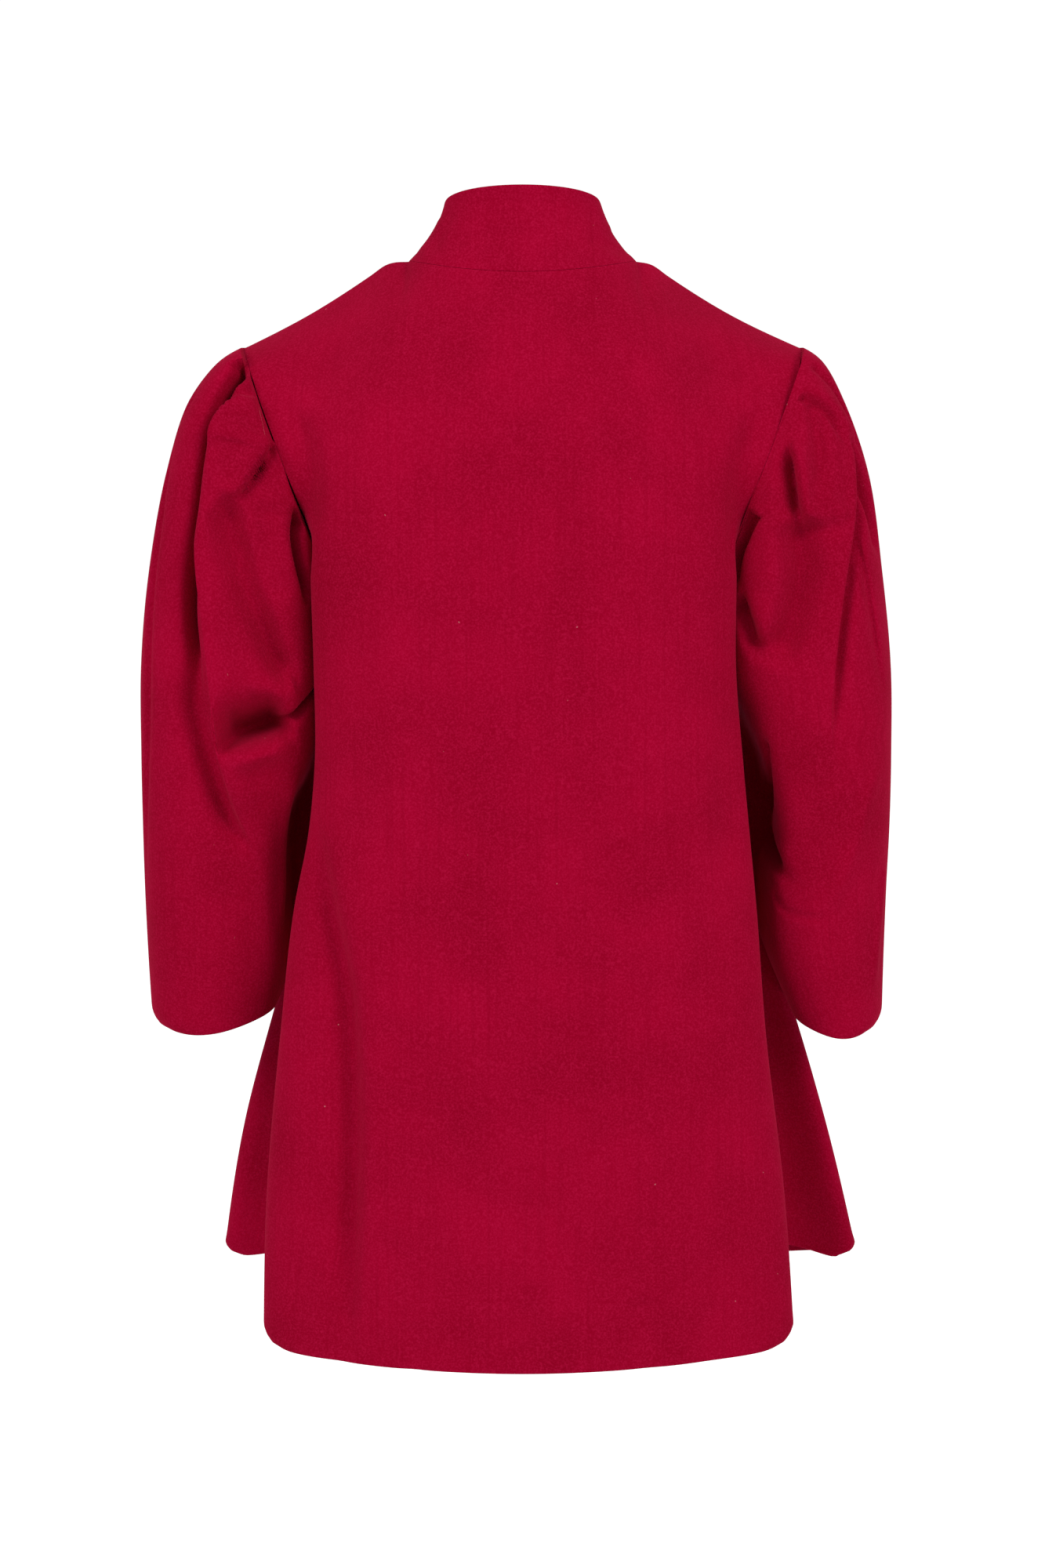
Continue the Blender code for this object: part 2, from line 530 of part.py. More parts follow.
def cloth_wall(name, grid, outward, wall, closed=False):
    """One piece of cloth: a grid laid on its places, then extruded to its wall."""
    rows, columns = grid.shape[0] - 1, grid.shape[1] - 1
    bm = bmesh.new()
    bmesh.ops.create_grid(bm, x_segments=columns, y_segments=rows, size=0.5)
    inner = {}
    for vertex in bm.verts:
        column = round((vertex.co.x + 0.5) * columns)
        row = round((0.5 - vertex.co.y) * rows)
        vertex.co = grid[row, column]
        inner[tuple(vertex.co)] = grid[row, column] - wall * outward[row, column]
    if closed:
        bmesh.ops.remove_doubles(bm, verts=bm.verts[:], dist=1e-6)
    lifted = bmesh.ops.extrude_face_region(bm, geom=bm.faces[:])
    for item in lifted["geom"]:
        if isinstance(item, bmesh.types.BMVert):
            item.co = inner[tuple(item.co)]
    bmesh.ops.recalc_face_normals(bm, faces=bm.faces[:])
    mesh = bpy.data.meshes.new(name)
    bm.to_mesh(mesh)
    bm.free()
    mesh.shade_smooth()
    mesh.set_sharp_from_angle(angle=SHARP_ANGLE)
    mesh.materials.append(wool(name + "_wool"))
    piece = bpy.data.objects.new(name, mesh)
    bpy.context.collection.objects.link(piece)
    return piece


def wool(name):
    """Red fulled wool."""
    material = bpy.data.materials.new(name)
    material.use_nodes = True
    shader = material.node_tree.nodes["Principled BSDF"]
    shader.inputs["Base Color"].default_value = WOOL_RED
    shader.inputs["Roughness"].default_value = WOOL_ROUGHNESS
    shader.inputs["Metallic"].default_value = 0.0
    return material


def share(first, second):
    """Give two edges that meet at a seam one direction for their walls."""
    both = first + second
    both /= np.linalg.norm(both, axis=-1, keepdims=True)
    first[:] = both
    second[:] = both


def share_armhole(panel_out, sleeve_out):
    """Blend the wall directions round half an armhole where the two cloths run on."""
    alike = np.sum(panel_out * sleeve_out, axis=-1, keepdims=True)
    both = panel_out + sleeve_out
    both /= np.linalg.norm(both, axis=-1, keepdims=True)
    weight = ease(alike, 0.3, 0.8)
    for out in (panel_out, sleeve_out):
        out += (both - out) * weight
        out /= np.linalg.norm(out, axis=-1, keepdims=True)


def sew():
    """All six pieces, with the directions of their walls agreed along the seams."""
    back, left, right = body_panels()
    back_out, left_out, right_out = normals(back), normals(left), normals(right)
    for out in (back_out, left_out, right_out):
        out[0] = out[1]
    share(back_out[ARMHOLE_ROWS:, 0], left_out[ARMHOLE_ROWS:, -1])
    share(back_out[ARMHOLE_ROWS:, -1], right_out[ARMHOLE_ROWS:, 0])
    share(back_out[0, SHOULDER_COLUMNS::-1], left_out[0, NECK_COLUMNS:])
    share(back_out[0, -SHOULDER_COLUMNS - 1:], right_out[0, SHOULDER_COLUMNS::-1])

    hole = slice(0, ARMHOLE_ROWS + 1)
    behind = slice(0, SLEEVE_COLUMNS // 2 + 1, 2)
    before = slice(SLEEVE_COLUMNS, SLEEVE_COLUMNS // 2 - 1, -2)
    left_sleeve = sleeve_grid(-1, back[hole, 0], left[hole, -1])
    right_sleeve = sleeve_grid(1, back[hole, -1], right[hole, 0])
    left_sleeve_out = normals(left_sleeve, closed=True)
    right_sleeve_out = -normals(right_sleeve, closed=True)
    for edge_out, sleeve_out, half in (
            (back_out[hole, 0], left_sleeve_out[0], behind),
            (left_out[hole, -1], left_sleeve_out[0], before),
            (back_out[hole, -1], right_sleeve_out[0], behind),
            (right_out[hole, 0], right_sleeve_out[0], before)):
        share_armhole(edge_out, sleeve_out[half])
    for sleeve_out in (left_sleeve_out[0], right_sleeve_out[0]):
        sleeve_out[0] = sleeve_out[-1]
        sleeve_out[1::2] = (sleeve_out[:-1:2] + sleeve_out[2::2]) / 2

    collar = collar_grid()
    cloth_wall("back", back, back_out, CLOTH_WALL)
    cloth_wall("front_left", left, left_out, CLOTH_WALL)
    cloth_wall("front_right", right, right_out, CLOTH_WALL)
    cloth_wall("collar", collar, -normals(collar), COLLAR_WALL)
    cloth_wall("sleeve_left", left_sleeve, left_sleeve_out, CLOTH_WALL, closed=True)
    cloth_wall("sleeve_right", right_sleeve, right_sleeve_out, CLOTH_WALL, closed=True)


for thing in list(bpy.data.objects):
    bpy.data.objects.remove(thing)
sew()
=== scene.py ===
# %% [markdown]
# # A medieval surcoat of red wool
# This script dresses a short flared coat. The fixed frame below holds six plain solids: the
# back, two fronts, a stand collar and two sleeves. Each is replaced by a finer piece of cloth
# that lies in the same place, with the pleats, hollows and creases that worn wool has.
# %% Load the coat's fixed frame
import json
import math
from functools import partial

import bmesh
import bpy
import numpy as np
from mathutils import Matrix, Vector

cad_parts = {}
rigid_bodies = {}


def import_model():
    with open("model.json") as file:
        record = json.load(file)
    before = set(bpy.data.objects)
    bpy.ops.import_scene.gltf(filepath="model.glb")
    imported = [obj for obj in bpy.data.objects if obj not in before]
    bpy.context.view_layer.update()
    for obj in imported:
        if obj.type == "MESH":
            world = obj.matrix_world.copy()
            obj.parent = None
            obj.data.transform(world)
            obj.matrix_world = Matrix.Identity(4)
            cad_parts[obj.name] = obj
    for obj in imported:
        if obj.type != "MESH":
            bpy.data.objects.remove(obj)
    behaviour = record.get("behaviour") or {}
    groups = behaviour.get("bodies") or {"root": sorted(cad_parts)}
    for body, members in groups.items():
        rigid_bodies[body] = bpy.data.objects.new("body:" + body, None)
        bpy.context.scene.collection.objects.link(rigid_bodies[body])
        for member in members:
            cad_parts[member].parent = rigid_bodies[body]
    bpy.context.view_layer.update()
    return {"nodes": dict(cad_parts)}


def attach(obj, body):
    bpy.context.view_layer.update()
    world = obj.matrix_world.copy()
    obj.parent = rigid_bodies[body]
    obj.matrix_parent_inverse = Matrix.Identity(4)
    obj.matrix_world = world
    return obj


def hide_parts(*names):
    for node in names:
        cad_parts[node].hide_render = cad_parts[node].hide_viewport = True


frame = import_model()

print("frame pieces:", sorted(frame["nodes"]))

# %% [markdown]
# ## Where the eye stands
# The coat is seen from behind, from a little above the armholes, a few steps away. A camera
# far off with a long lens keeps the sleeves from looking larger than the body. Its lens is
# worked out from the picture's height, so the coat fills the same part of the frame.
# %% Camera
EYE = (0.0, -2.75, -0.12)
LOOK_DOWN = math.radians(6.8)
PICTURE_HEIGHT = 2000
FOCAL_PIXELS = 4070
SENSOR = 24.0


def into_scene(name, data):
    """A new object in the scene, at the origin."""
    thing = bpy.data.objects.new(name, data)
    bpy.context.scene.collection.objects.link(thing)
    return thing


camera_data = bpy.data.cameras.new("camera")
camera_data.sensor_width = SENSOR
camera_data.lens = SENSOR * FOCAL_PIXELS / PICTURE_HEIGHT
camera = into_scene("camera", camera_data)
camera.location = EYE
camera.rotation_euler = (math.radians(90) - LOOK_DOWN, 0, 0)
bpy.context.scene.camera = camera
print("lens, mm:", round(camera_data.lens, 1))

# %% [markdown]
# ## Curves through a few measured places
# A pattern cutter marks a few points and draws a smooth line through them. These helpers do
# the same: a short table holds the marks, and the curve is read wherever it is needed. A
# spline object could do this too, but plain arrays are easier to bend and press afterwards.
# %% Tables and smooth curves
def table(names, *rows):
    """A short table in thousandths, mostly millimetres: each named column as an array."""
    return dict(zip(names.split(), np.array(rows, dtype=float).T / 1000))


def ease(value, low, high):
    """0 below low, 1 above high, and a smooth S between them."""
    x = np.clip((value - low) / (high - low), 0.0, 1.0)
    return x * x * (3.0 - 2.0 * x)


def between(value, rise, fall):
    """1 between two smooth steps, one up and one down, and 0 outside them."""
    return ease(value, *rise) * (1 - ease(value, *fall))


def through(knots, values, at):
    """A smooth curve through the values at the knots, read at other places."""
    knots = np.asarray(knots, dtype=float)
    values = np.asarray(values, dtype=float)
    flat = values.reshape(len(knots), -1)
    steps = np.diff(knots)[:, None]
    chords = np.diff(flat, axis=0) / steps
    slopes = np.empty_like(flat)
    slopes[1:-1] = (chords[:-1] * steps[1:] + chords[1:] * steps[:-1]) / (steps[1:] + steps[:-1])
    slopes[0] = 1.5 * chords[0] - 0.5 * slopes[1]
    slopes[-1] = 1.5 * chords[-1] - 0.5 * slopes[-2]
    at = np.asarray(at, dtype=float)
    i = np.clip(np.searchsorted(knots, at, side="right") - 1, 0, len(knots) - 2)
    length = steps[i]
    x = (at - knots[i])[:, None] / length
    curve = ((1 + 2 * x) * (1 - x) ** 2 * flat[i] + x * (1 - x) ** 2 * length * slopes[i]
             + x * x * (3 - 2 * x) * flat[i + 1] + x * x * (x - 1) * length * slopes[i + 1])
    return curve.reshape((len(at),) + values.shape[1:])


print("half way between 0, 1 and 4 at 1.5:", through([0, 1, 2], [0, 1, 4], [1.5]).round(2))

# %% [markdown]
# ## The neck, the shoulders and the armholes
# Three seams hold a coat's shape: the ring where the collar is sewn on, the two shoulder
# seams, and the armholes. All are drawn first, because every piece of cloth starts or ends
# on one of them. The sizes are in metres, from the middle of the neck.
# %% Seam lines
NECK_HALF_WIDTH = 0.097
NECK_MIDDLE_Y = -0.010
NECK_BACK = 0.065
NECK_FRONT = 0.095
NECK_BACK_DROP = 0.011
NECK_FRONT_DROP = 0.075
SHOULDER_X, SHOULDER_Z = 0.236, -0.072
UNDERARM_X, UNDERARM_Z = 0.166, -0.262
ARMHOLE_BACK_Y, ARMHOLE_FRONT_Y = -0.080, 0.070
ARMHOLE_BOW = {-1: 0.0, 1: 0.010}
ARMHOLE_MIDDLE_Y = (ARMHOLE_BACK_Y + ARMHOLE_FRONT_Y) / 2
UNDERARM_DOWN = 0.252

SHOULDER = table(
    "left_x right_x z",
    ( 97,  97,     0),
    (116, 110,  -2.5),
    (130, 124,   -12),
    (175, 170, -40.5),
    (236, 236,   -72))


def neckline(turn):
    """The collar seam: turn 0 at the middle of the back, 90 at the shoulder, 180 in front."""
    angle = np.radians(turn)
    behind = np.cos(angle) > 0
    x = NECK_HALF_WIDTH * np.sin(angle)
    y = NECK_MIDDLE_Y - np.where(behind, NECK_BACK, NECK_FRONT) * np.cos(angle)
    z = np.where(behind, -NECK_BACK_DROP * np.cos(angle) ** 2,
                 -NECK_FRONT_DROP * np.abs(np.cos(angle)) ** 1.5)
    return np.stack([x, y, z], axis=-1)


def armhole(turn, side, front=False):
    """The armhole seam: turn 0 at the shoulder point, 180 at the underarm."""
    angle = np.radians(turn)
    fall = (1 - np.cos(angle)) / 2
    reach = (ARMHOLE_FRONT_Y - ARMHOLE_MIDDLE_Y) * (1 if front else -1)
    x = SHOULDER_X + (UNDERARM_X - SHOULDER_X) * fall + ARMHOLE_BOW[side] * np.sin(math.pi * fall)
    z = SHOULDER_Z + (UNDERARM_Z - SHOULDER_Z) * fall
    return np.stack([side * x, ARMHOLE_MIDDLE_Y + reach * np.sin(angle), z], axis=-1)


def path_length(points):
    return float(np.linalg.norm(np.diff(points, axis=0), axis=1).sum())


round_neck = path_length(neckline(np.linspace(0, 360, 361)))
round_arm = sum(path_length(armhole(np.linspace(0, 180, 181), 1, front)) for front in (0, 1))
print("round the neck, m:", round(round_neck, 3), " round an armhole, m:", round(round_arm, 3))

# %% [markdown]
# ## How the body hangs
# Below the shoulders the cloth falls in levels. At each level four marks are enough for half
# a panel: its middle, a place half way out, its corner and its side seam. The back's corner
# is the soft roll where it turns to the side. The fronts flare more, so their outer part, the
# lobe, swings out behind the back's roll, with a deep fold and the side seam between them.
# %% Levels of the back, the fronts and the side seams
BACK = table(
    "down centre_y centre_z mid_x mid_y mid_z left_x right_x corner_y corner_z",
    ( 63, -103,  -72,  95,  -83,  -58, 165, 165,  -58,  -78),
    (112, -122, -120, 105, -111, -117, 170, 170,  -92, -133),
    (154, -130, -163, 108, -122, -163, 168, 169, -100, -178),
    (203, -135, -213, 110, -130, -214, 170, 172, -100, -224),
    (252, -138, -262, 112, -134, -262, 175, 177,  -92, -264),
    (330, -140, -340, 114, -136, -340, 174, 178,  -88, -340),
    (410, -143, -420, 118, -138, -420, 174, 185,  -88, -420),
    (470, -145, -480, 122, -139, -480, 180, 191,  -89, -480),
    (530, -147, -540, 127, -140, -540, 192, 197,  -91, -540),
    (640, -153, -650, 136, -143, -650, 205, 206,  -94, -650),
    (770, -160, -780, 145, -147, -780, 217, 222,  -98, -780),
    (910, -166, -924, 150, -151, -918, 221, 232, -101, -912))
FRONT = table(
    "down centre_y centre_z mid_x mid_y mid_z left_x right_x lobe_y lobe_z",
    ( 63, 100, -112,  88,  74,  -95, 163, 163,  48,  -88),
    (112, 113, -150, 100, 101, -142, 168, 168,  77, -143),
    (154, 121, -185, 105, 112, -180, 166, 166,  87, -184),
    (203, 127, -225, 110, 120, -222, 167, 167,  88, -227),
    (252, 130, -262, 112, 124, -262, 170, 170,  85, -263),
    (330, 132, -340, 112, 127, -340, 166, 166,  85, -340),
    (410, 133, -420, 114, 128, -420, 167, 169,  86, -420),
    (470, 135, -480, 117, 129, -480, 176, 181,  89, -480),
    (530, 138, -540, 121, 131, -540, 191, 200,  93, -538),
    (640, 147, -650, 130, 139, -648, 219, 238, 100, -643),
    (770, 158, -780, 140, 149, -776, 253, 276, 106, -768),
    (910, 168, -912, 150, 160, -908, 274, 307, 110, -895))
SIDE = table(
    "down left_x right_x y z",
    (252, 166, 166,  -5, -262),
    (330, 160, 160,  -4, -340),
    (410, 157, 158,  -4, -420),
    (470, 157, 158,  -4, -480),
    (530, 158, 160,  -5, -540),
    (640, 160, 165,  -8, -648),
    (770, 162, 170, -12, -776),
    (910, 164, 173, -16, -888))
print("levels down the body:", len(BACK["down"]), " deepest, m:", BACK["down"][-1])

# %% [markdown]
# ## Laying half a panel
# Each level gives one smooth line across, and smooth lines down join the levels. The result
# is a grid of places, fine enough to take a crease: a few millimetres from one place to the
# next. The armhole turns sharply into the side seam, so the columns near it are drawn in two
# stretches that meet there, as the seams of the real coat do.
# %% A grid of places for half the back or one front
NECK_COLUMNS = 32
SHOULDER_COLUMNS = 48
ARMHOLE_ROWS = 70
SKIRT_ROWS = 200
NECK_PLACE = 0.42
CONTROL_PLACES = (0.0, 0.38, 0.70, 1.0)
MIRRORED_PLACE = -0.38
BEYOND_PLACE = 1.30
panel_places = np.concatenate([np.linspace(0.0, NECK_PLACE, NECK_COLUMNS + 1),
                               np.linspace(NECK_PLACE, 1.0, SHOULDER_COLUMNS + 1)[1:]])
panel_rows = np.concatenate([
    np.linspace(0.0, UNDERARM_DOWN, ARMHOLE_ROWS + 1),
    np.linspace(UNDERARM_DOWN, BACK["down"][-1], SKIRT_ROWS + 1)[1:]])


def top_edge(side, front):
    """The upper edge of half a panel: neckline, then shoulder seam."""
    turns = np.linspace(180.0 if front else 0.0, 90.0, NECK_COLUMNS + 1)
    neck = neckline(turns) * (side, 1, 1)
    across = SHOULDER["left_x" if side < 0 else "right_x"]
    xs = np.linspace(across[0], across[-1], SHOULDER_COLUMNS + 1)[1:]
    shoulder = np.stack([
        side * xs,
        np.interp(xs, (across[0], across[-1]), (NECK_MIDDLE_Y, ARMHOLE_MIDDLE_Y)),
        through(across, SHOULDER["z"], xs)], axis=-1)
    return np.concatenate([neck, shoulder])


def level_points(level, side, front):
    """Marks of one level of half a panel: middle, mid, corner or lobe, then the edge."""
    rows = FRONT if front else BACK
    outer = "lobe" if front else "corner"
    near = "left_x" if side < 0 else "right_x"
    points = [
        (0.0, rows["centre_y"][level], rows["centre_z"][level]),
        (side * rows["mid_x"][level], rows["mid_y"][level], rows["mid_z"][level]),
        (side * rows[near][level], rows[outer + "_y"][level], rows[outer + "_z"][level])]
    down = rows["down"][level]
    if down < UNDERARM_DOWN:
        points.append(armhole(180.0 * down / UNDERARM_DOWN, side, front))
    else:
        seam = int(np.argmin(np.abs(SIDE["down"] - down)))
        points.append((side * SIDE[near][seam], SIDE["y"][seam], SIDE["z"][seam]))
    return np.array(points)


def half_panel(side, front):
    """Half the back, or one front: rows down, columns from the middle to the side."""
    lines = [top_edge(side, front)]
    for level, down in enumerate(BACK["down"]):
        own = level_points(level, side, front)
        knots = [MIRRORED_PLACE, *CONTROL_PLACES]
        points = [own[1] * (-1, 1, 1), *own]
        if down >= UNDERARM_DOWN:
            knots.append(BEYOND_PLACE)
            points.append(level_points(level, side, not front)[2])
        lines.append(through(knots, points, panel_places))
    lines = np.array(lines)
    knots = np.concatenate([[0.0], BACK["down"]])
    grid = through(knots, lines, panel_rows)
    upper, lower = knots <= UNDERARM_DOWN, knots >= UNDERARM_DOWN
    turned = np.concatenate([
        through(knots[upper], lines[upper], panel_rows[:ARMHOLE_ROWS]),
        through(knots[lower], lines[lower], panel_rows[ARMHOLE_ROWS:])])
    grid += (turned - grid) * ease(panel_places, NECK_PLACE, 1.0)[None, :, None]
    grid[:ARMHOLE_ROWS + 1, -1] = armhole(np.linspace(0.0, 180.0, ARMHOLE_ROWS + 1), side, front)
    return grid


halves = {(side, front): half_panel(side, front) for side in (-1, 1) for front in (0, 1)}
print("places in half a panel:", halves[-1, 0].shape[:2])

# %% [markdown]
# ## Folds as lines with a shape across them
# Wool folds along lines. A fold here is a line of places on the coat, seen from behind or in
# front, and a shape across that line: a valley is pressed in, a ridge stands out, and a step
# is the edge of a pleat, where one layer lies on another. Sculpting by hand would also work,
# but a line with a depth and a width can be measured, changed and repeated.
# %% Folds and how they press the cloth
LAP_RISE = 0.8
LAP_REACH = 3.5
LAP_SIDE = 0.4
LIP_STEEPNESS = 6
STEP_REACH = 5


def fold(kind, depth, width, *places, front=False, fade=(0.10, 0.22), over=0.0, way="in"):
    """A fold, in millimetres: a line of (outward x, z) places that fades in and out over parts
    of its length. The cloth on one side can lap over the line: by over, from the side way.
    """
    return {"kind": kind, "depth": depth / 1000, "width": width / 1000, "front": front,
            "fade": fade, "over": over / 1000, "way": way,
            "line": np.array(places, dtype=float) / 1000}


valley, ridge = partial(fold, "valley"), partial(fold, "ridge")
step_in, step_out = partial(fold, "step in"), partial(fold, "step out")


def nearest(points, line):
    """Each point's offset from a line of places, its distance, and how far along it is."""
    lengths = np.linalg.norm(np.diff(line, axis=0), axis=1)
    starts = np.concatenate([[0.0], np.cumsum(lengths)]) / lengths.sum()
    best = np.full(len(points), np.inf)
    offset = np.zeros_like(points)
    along = np.zeros(len(points))
    for start, end, length, place in zip(line[:-1], line[1:], lengths, starts):
        run = end - start
        x = np.clip((points - start) @ run / length ** 2, 0.0, 1.0)
        gap = points - start - x[:, None] * run
        far = np.linalg.norm(gap, axis=1)
        closer = far < best
        best[closer] = far[closer]
        offset[closer] = gap[closer]
        along[closer] = place + x[closer] * length / lengths.sum()
    return offset, best, along


def fading(item, along):
    """How strong a fold is along its line, from 0 at its ends to 1."""
    fade_in, fade_out = item["fade"]
    return ease(along, 0.0, fade_in) * ease(1.0 - along, 0.0, fade_out)


def lapping(item, offset, far):
    """1 on the side of the line whose cloth laps over it, 0 on the other side."""
    toward = {"in": -offset[:, 0], "out": offset[:, 0], "up": offset[:, 2], "down": -offset[:, 2]}
    return ease(toward[item["way"]] / np.maximum(far, 1e-6), 0.0, LAP_SIDE)


def slide(item, offset, far, along):
    """How far a lapping fold moves the cloth sideways, over its own line."""
    upper = lapping(item, offset, far) * ease(far, 0.0, LAP_RISE * item["width"])
    upper *= np.exp(-(far / (LAP_REACH * item["width"])) ** 2)
    amount = item["over"] * fading(item, along) * upper
    return -offset * (amount / np.maximum(far, 1e-6))[:, None]


def relief(item, far, along, inward, steep=0.0):
    """How far a fold moves the cloth outwards, by the distance from the fold's line."""
    reach = fading(item, along)
    bell = np.exp(-(far / (item["width"] * (1 - 0.5 * steep))) ** 2)
    if item["kind"] == "valley":
        return -item["depth"] * reach * bell
    if item["kind"] == "ridge":
        return item["depth"] * reach * bell
    signed = inward if item["kind"] == "step in" else -inward
    lip = 1 / (1 + np.exp(-LIP_STEEPNESS * signed / item["width"]))
    broad = np.exp(-(far / (STEP_REACH * item["width"])) ** 2)
    return item["depth"] * reach * (lip - 0.5) * broad


def normals(grid, closed=False):
    """Unit directions square to the cloth at each crossing of the grid."""
    down = np.gradient(grid, axis=0)
    if closed:
        wrapped = np.concatenate([grid[:, -2:-1], grid, grid[:, 1:2]], axis=1)
        across = np.gradient(wrapped, axis=1)[:, 1:-1]
    else:
        across = np.gradient(grid, axis=1)
    square = np.cross(down, across)
    return square / np.linalg.norm(square, axis=-1, keepdims=True)


print("a 10 mm valley, 5 mm from its line, mm:",
      round(1000 * float(relief(valley(10, 10, (0, 0), (1000, 0)), 0.005, 0.5, 0)), 1))

# %% [markdown]
# ## Soft hollows of the body
# The back is nearly smooth: a trough runs down beside each armhole where the shoulder blade
# ends, one long valley runs from the left waist to the hem, and a few faint ones come from
# how the coat was stored. The fronts get similar ones, placed unevenly as on the back.
# %% Folds of the back and the fronts
BACK_FOLDS = (
    valley(9, 10, (-198, -112), (-183, -144), (-177, -175), (-177, -205), (-182, -235),
           fade=(0.35, 0.2)),
    valley(9, 11, (202, -112), (188, -150), (180, -195), (177, -225), (179, -260),
           fade=(0.35, 0.2)),
    step_in(14, 7, (-174, -440), (-165, -485), (-150, -557), (-140, -608), (-135, -697),
            (-137, -797), (-142, -926), fade=(0.25, 0.25)),
    valley(8, 11, (-180, -440), (-171, -485), (-156, -557), (-146, -608), (-141, -697),
           (-143, -797), (-148, -920), fade=(0.25, 0.3)),
    valley(5, 14, (176, -370), (172, -430), (170, -520)),
    valley(2.8, 13, (-57, -180), (-58, -410), (-52, -560)),
    valley(1.4, 16, (-20, -350), (-14, -460), (-12, -620)),
    valley(1.6, 14, (50, -300), (56, -420), (62, -560)),
    valley(1.4, 18, (118, -140), (122, -260), (126, -420)),
    ridge(1.4, 14, (20, -100), (24, -240), (30, -330)),
    valley(1.6, 10, (-92, -880), (-90, -930), (-88, -950)),
    valley(1.4, 12, (-150, -870), (-153, -905), (-155, -935)),
    valley(1.2, 14, (100, -860), (103, -900), (106, -935)))
FRONT_FOLDS = (
    valley(8, 16, (-190, -114), (-174, -156), (-167, -220)),
    valley(8, 16, (191, -112), (176, -154), (169, -215)),
    valley(11, 18, (-110, -430), (-116, -600), (-128, -780), (-134, -930)),
    valley(12, 18, (122, -400), (134, -580), (150, -760), (158, -930)),
    valley(6, 14, (-205, -660), (-213, -780), (-220, -920)),
    valley(2.5, 14, (50, -200), (54, -340), (60, -480)),
    valley(2.2, 14, (-60, -230), (-58, -370), (-52, -520)),
    ridge(3, 16, (98, -480), (104, -640), (112, -800)))
SEAM_GAP = 0.0003
HALF_GAP = SEAM_GAP * 0.6
DIVE = {-1: 0.36, 1: 0.50}
LOBE_ROLL = 0.35
CORNER_PLACES = 0.045
CORNER_DEPTH = 0.030
CORNER_LIFT = 0.005
CORNER_RADIUS = 0.012
FACING_FROM, FACING_FULL = 0.1, 0.6


def round_corner(grid):
    """Lift and draw in the hem at a panel's outermost place, so that its corner is round."""
    off = (panel_places - CONTROL_PLACES[2]) / CORNER_PLACES
    above_hem = panel_rows[-1] - panel_rows
    low = 1 - ease(above_hem, 0.0, CORNER_DEPTH)
    grid[..., 2] += CORNER_LIFT * np.outer(low, np.exp(-off ** 2))
    late = np.clip(1 - above_hem / CORNER_RADIUS, 0.0, 1.0)
    outer = np.exp(-(off / 3) ** 2)
    grid[..., 0] -= np.sign(grid[..., 0]) * CORNER_RADIUS * np.outer(
        1 - np.sqrt(1 - late ** 2), outer)


def side_dive(grid, lobe_x, seam_x, depth):
    """Press the cloth between a front's lobe and its side seam deeper, where it flares."""
    lobe_column = NECK_COLUMNS + round(
        SHOULDER_COLUMNS * (CONTROL_PLACES[2] - NECK_PLACE) / (1 - NECK_PLACE))
    outer = slice(lobe_column, None)
    flare = np.interp(panel_rows, SIDE["down"], lobe_x[-len(seam_x):] - seam_x)
    flare *= panel_rows > UNDERARM_DOWN
    swing = np.linspace(0.0, math.pi, grid[:, outer].shape[1])
    profile = np.sin(swing) ** 2 - LOBE_ROLL * np.sin(2 * swing)
    grid[:, outer, 1] += depth * np.outer(flare, profile)


def body_relief(grid, folds, front):
    """Press the soft hollows into a panel, along y, where it faces back or front."""
    flat = grid.reshape(-1, 3)
    facing = 1 if front else -1
    rise = np.zeros(len(flat))
    for item in folds:
        knots = np.linspace(0, 1, len(item["line"]))
        line = through(knots, item["line"], np.linspace(0, 1, 20))
        offset, far, along = nearest(flat[:, (0, 2)], line)
        rise += relief(item, far, along, -offset[:, 0] * np.sign(line[0, 0]))
    rise *= ease(facing * normals(grid)[..., 1].ravel(), FACING_FROM, FACING_FULL)
    return (flat + np.outer(rise, (0, facing, 0))).reshape(grid.shape)


for side, near in ((-1, "left_x"), (1, "right_x")):
    side_dive(halves[side, 1], FRONT[near], SIDE[near], DIVE[side])
    for front in (0, 1):
        round_corner(halves[side, front])
back = np.concatenate([halves[-1, 0][:, ::-1], halves[1, 0][:, 1:]], axis=1)
back = body_relief(back, BACK_FOLDS, front=False) - (0, HALF_GAP, 0)
front_left = body_relief(halves[-1, 1], FRONT_FOLDS, front=True) + (0, HALF_GAP, 0)
front_right = body_relief(halves[1, 1][:, ::-1], FRONT_FOLDS, front=True) + (0, HALF_GAP, 0)
front_left[:, 0, 0] -= HALF_GAP
front_right[:, -1, 0] += HALF_GAP
print("places in the back:", back.shape[:2], " in a front:", front_left.shape[:2])

# %% [markdown]
# ## The sleeves
# A sleeve is a wide tube, drawn by rings from the armhole to the cuff. Its head is much wider
# than the armhole, so the spare cloth is laid in pleats that point at the shoulder and open
# into long rolls down to the elbow. Below the elbow the tube is smooth and hangs to the
# wrist. Each fold's line is drawn on the flat view and then found on the tube.
# %% Rings of both sleeves
LEFT_SLEEVE = table(
    "down outer_x outer_z inner_x inner_z back_y front_y swell",
    (   0,   236,  -72, 166, -262,  -80,  70,  0),
    (  60,   257,  -85, 169, -278,  -91,  80,  0),
    ( 140,   283, -119, 170, -300,  -98,  88,  0),
    ( 240,   302, -178, 169, -328, -100,  93,  0),
    ( 360,   318, -262, 169, -362,  -99,  97,  0),
    ( 480,   326, -340, 172, -398,  -95, 101,  6),
    ( 600, 327.5, -415, 185, -436,  -88, 104, 22),
    ( 700, 327.5, -475, 204, -480,  -81, 106, 28),
    ( 800,   327, -535, 207, -535,  -74, 107, 22),
    ( 900, 325.5, -595, 203, -588,  -67, 107, 10),
    (1000,   323, -655, 214, -640,  -58, 106,  2))
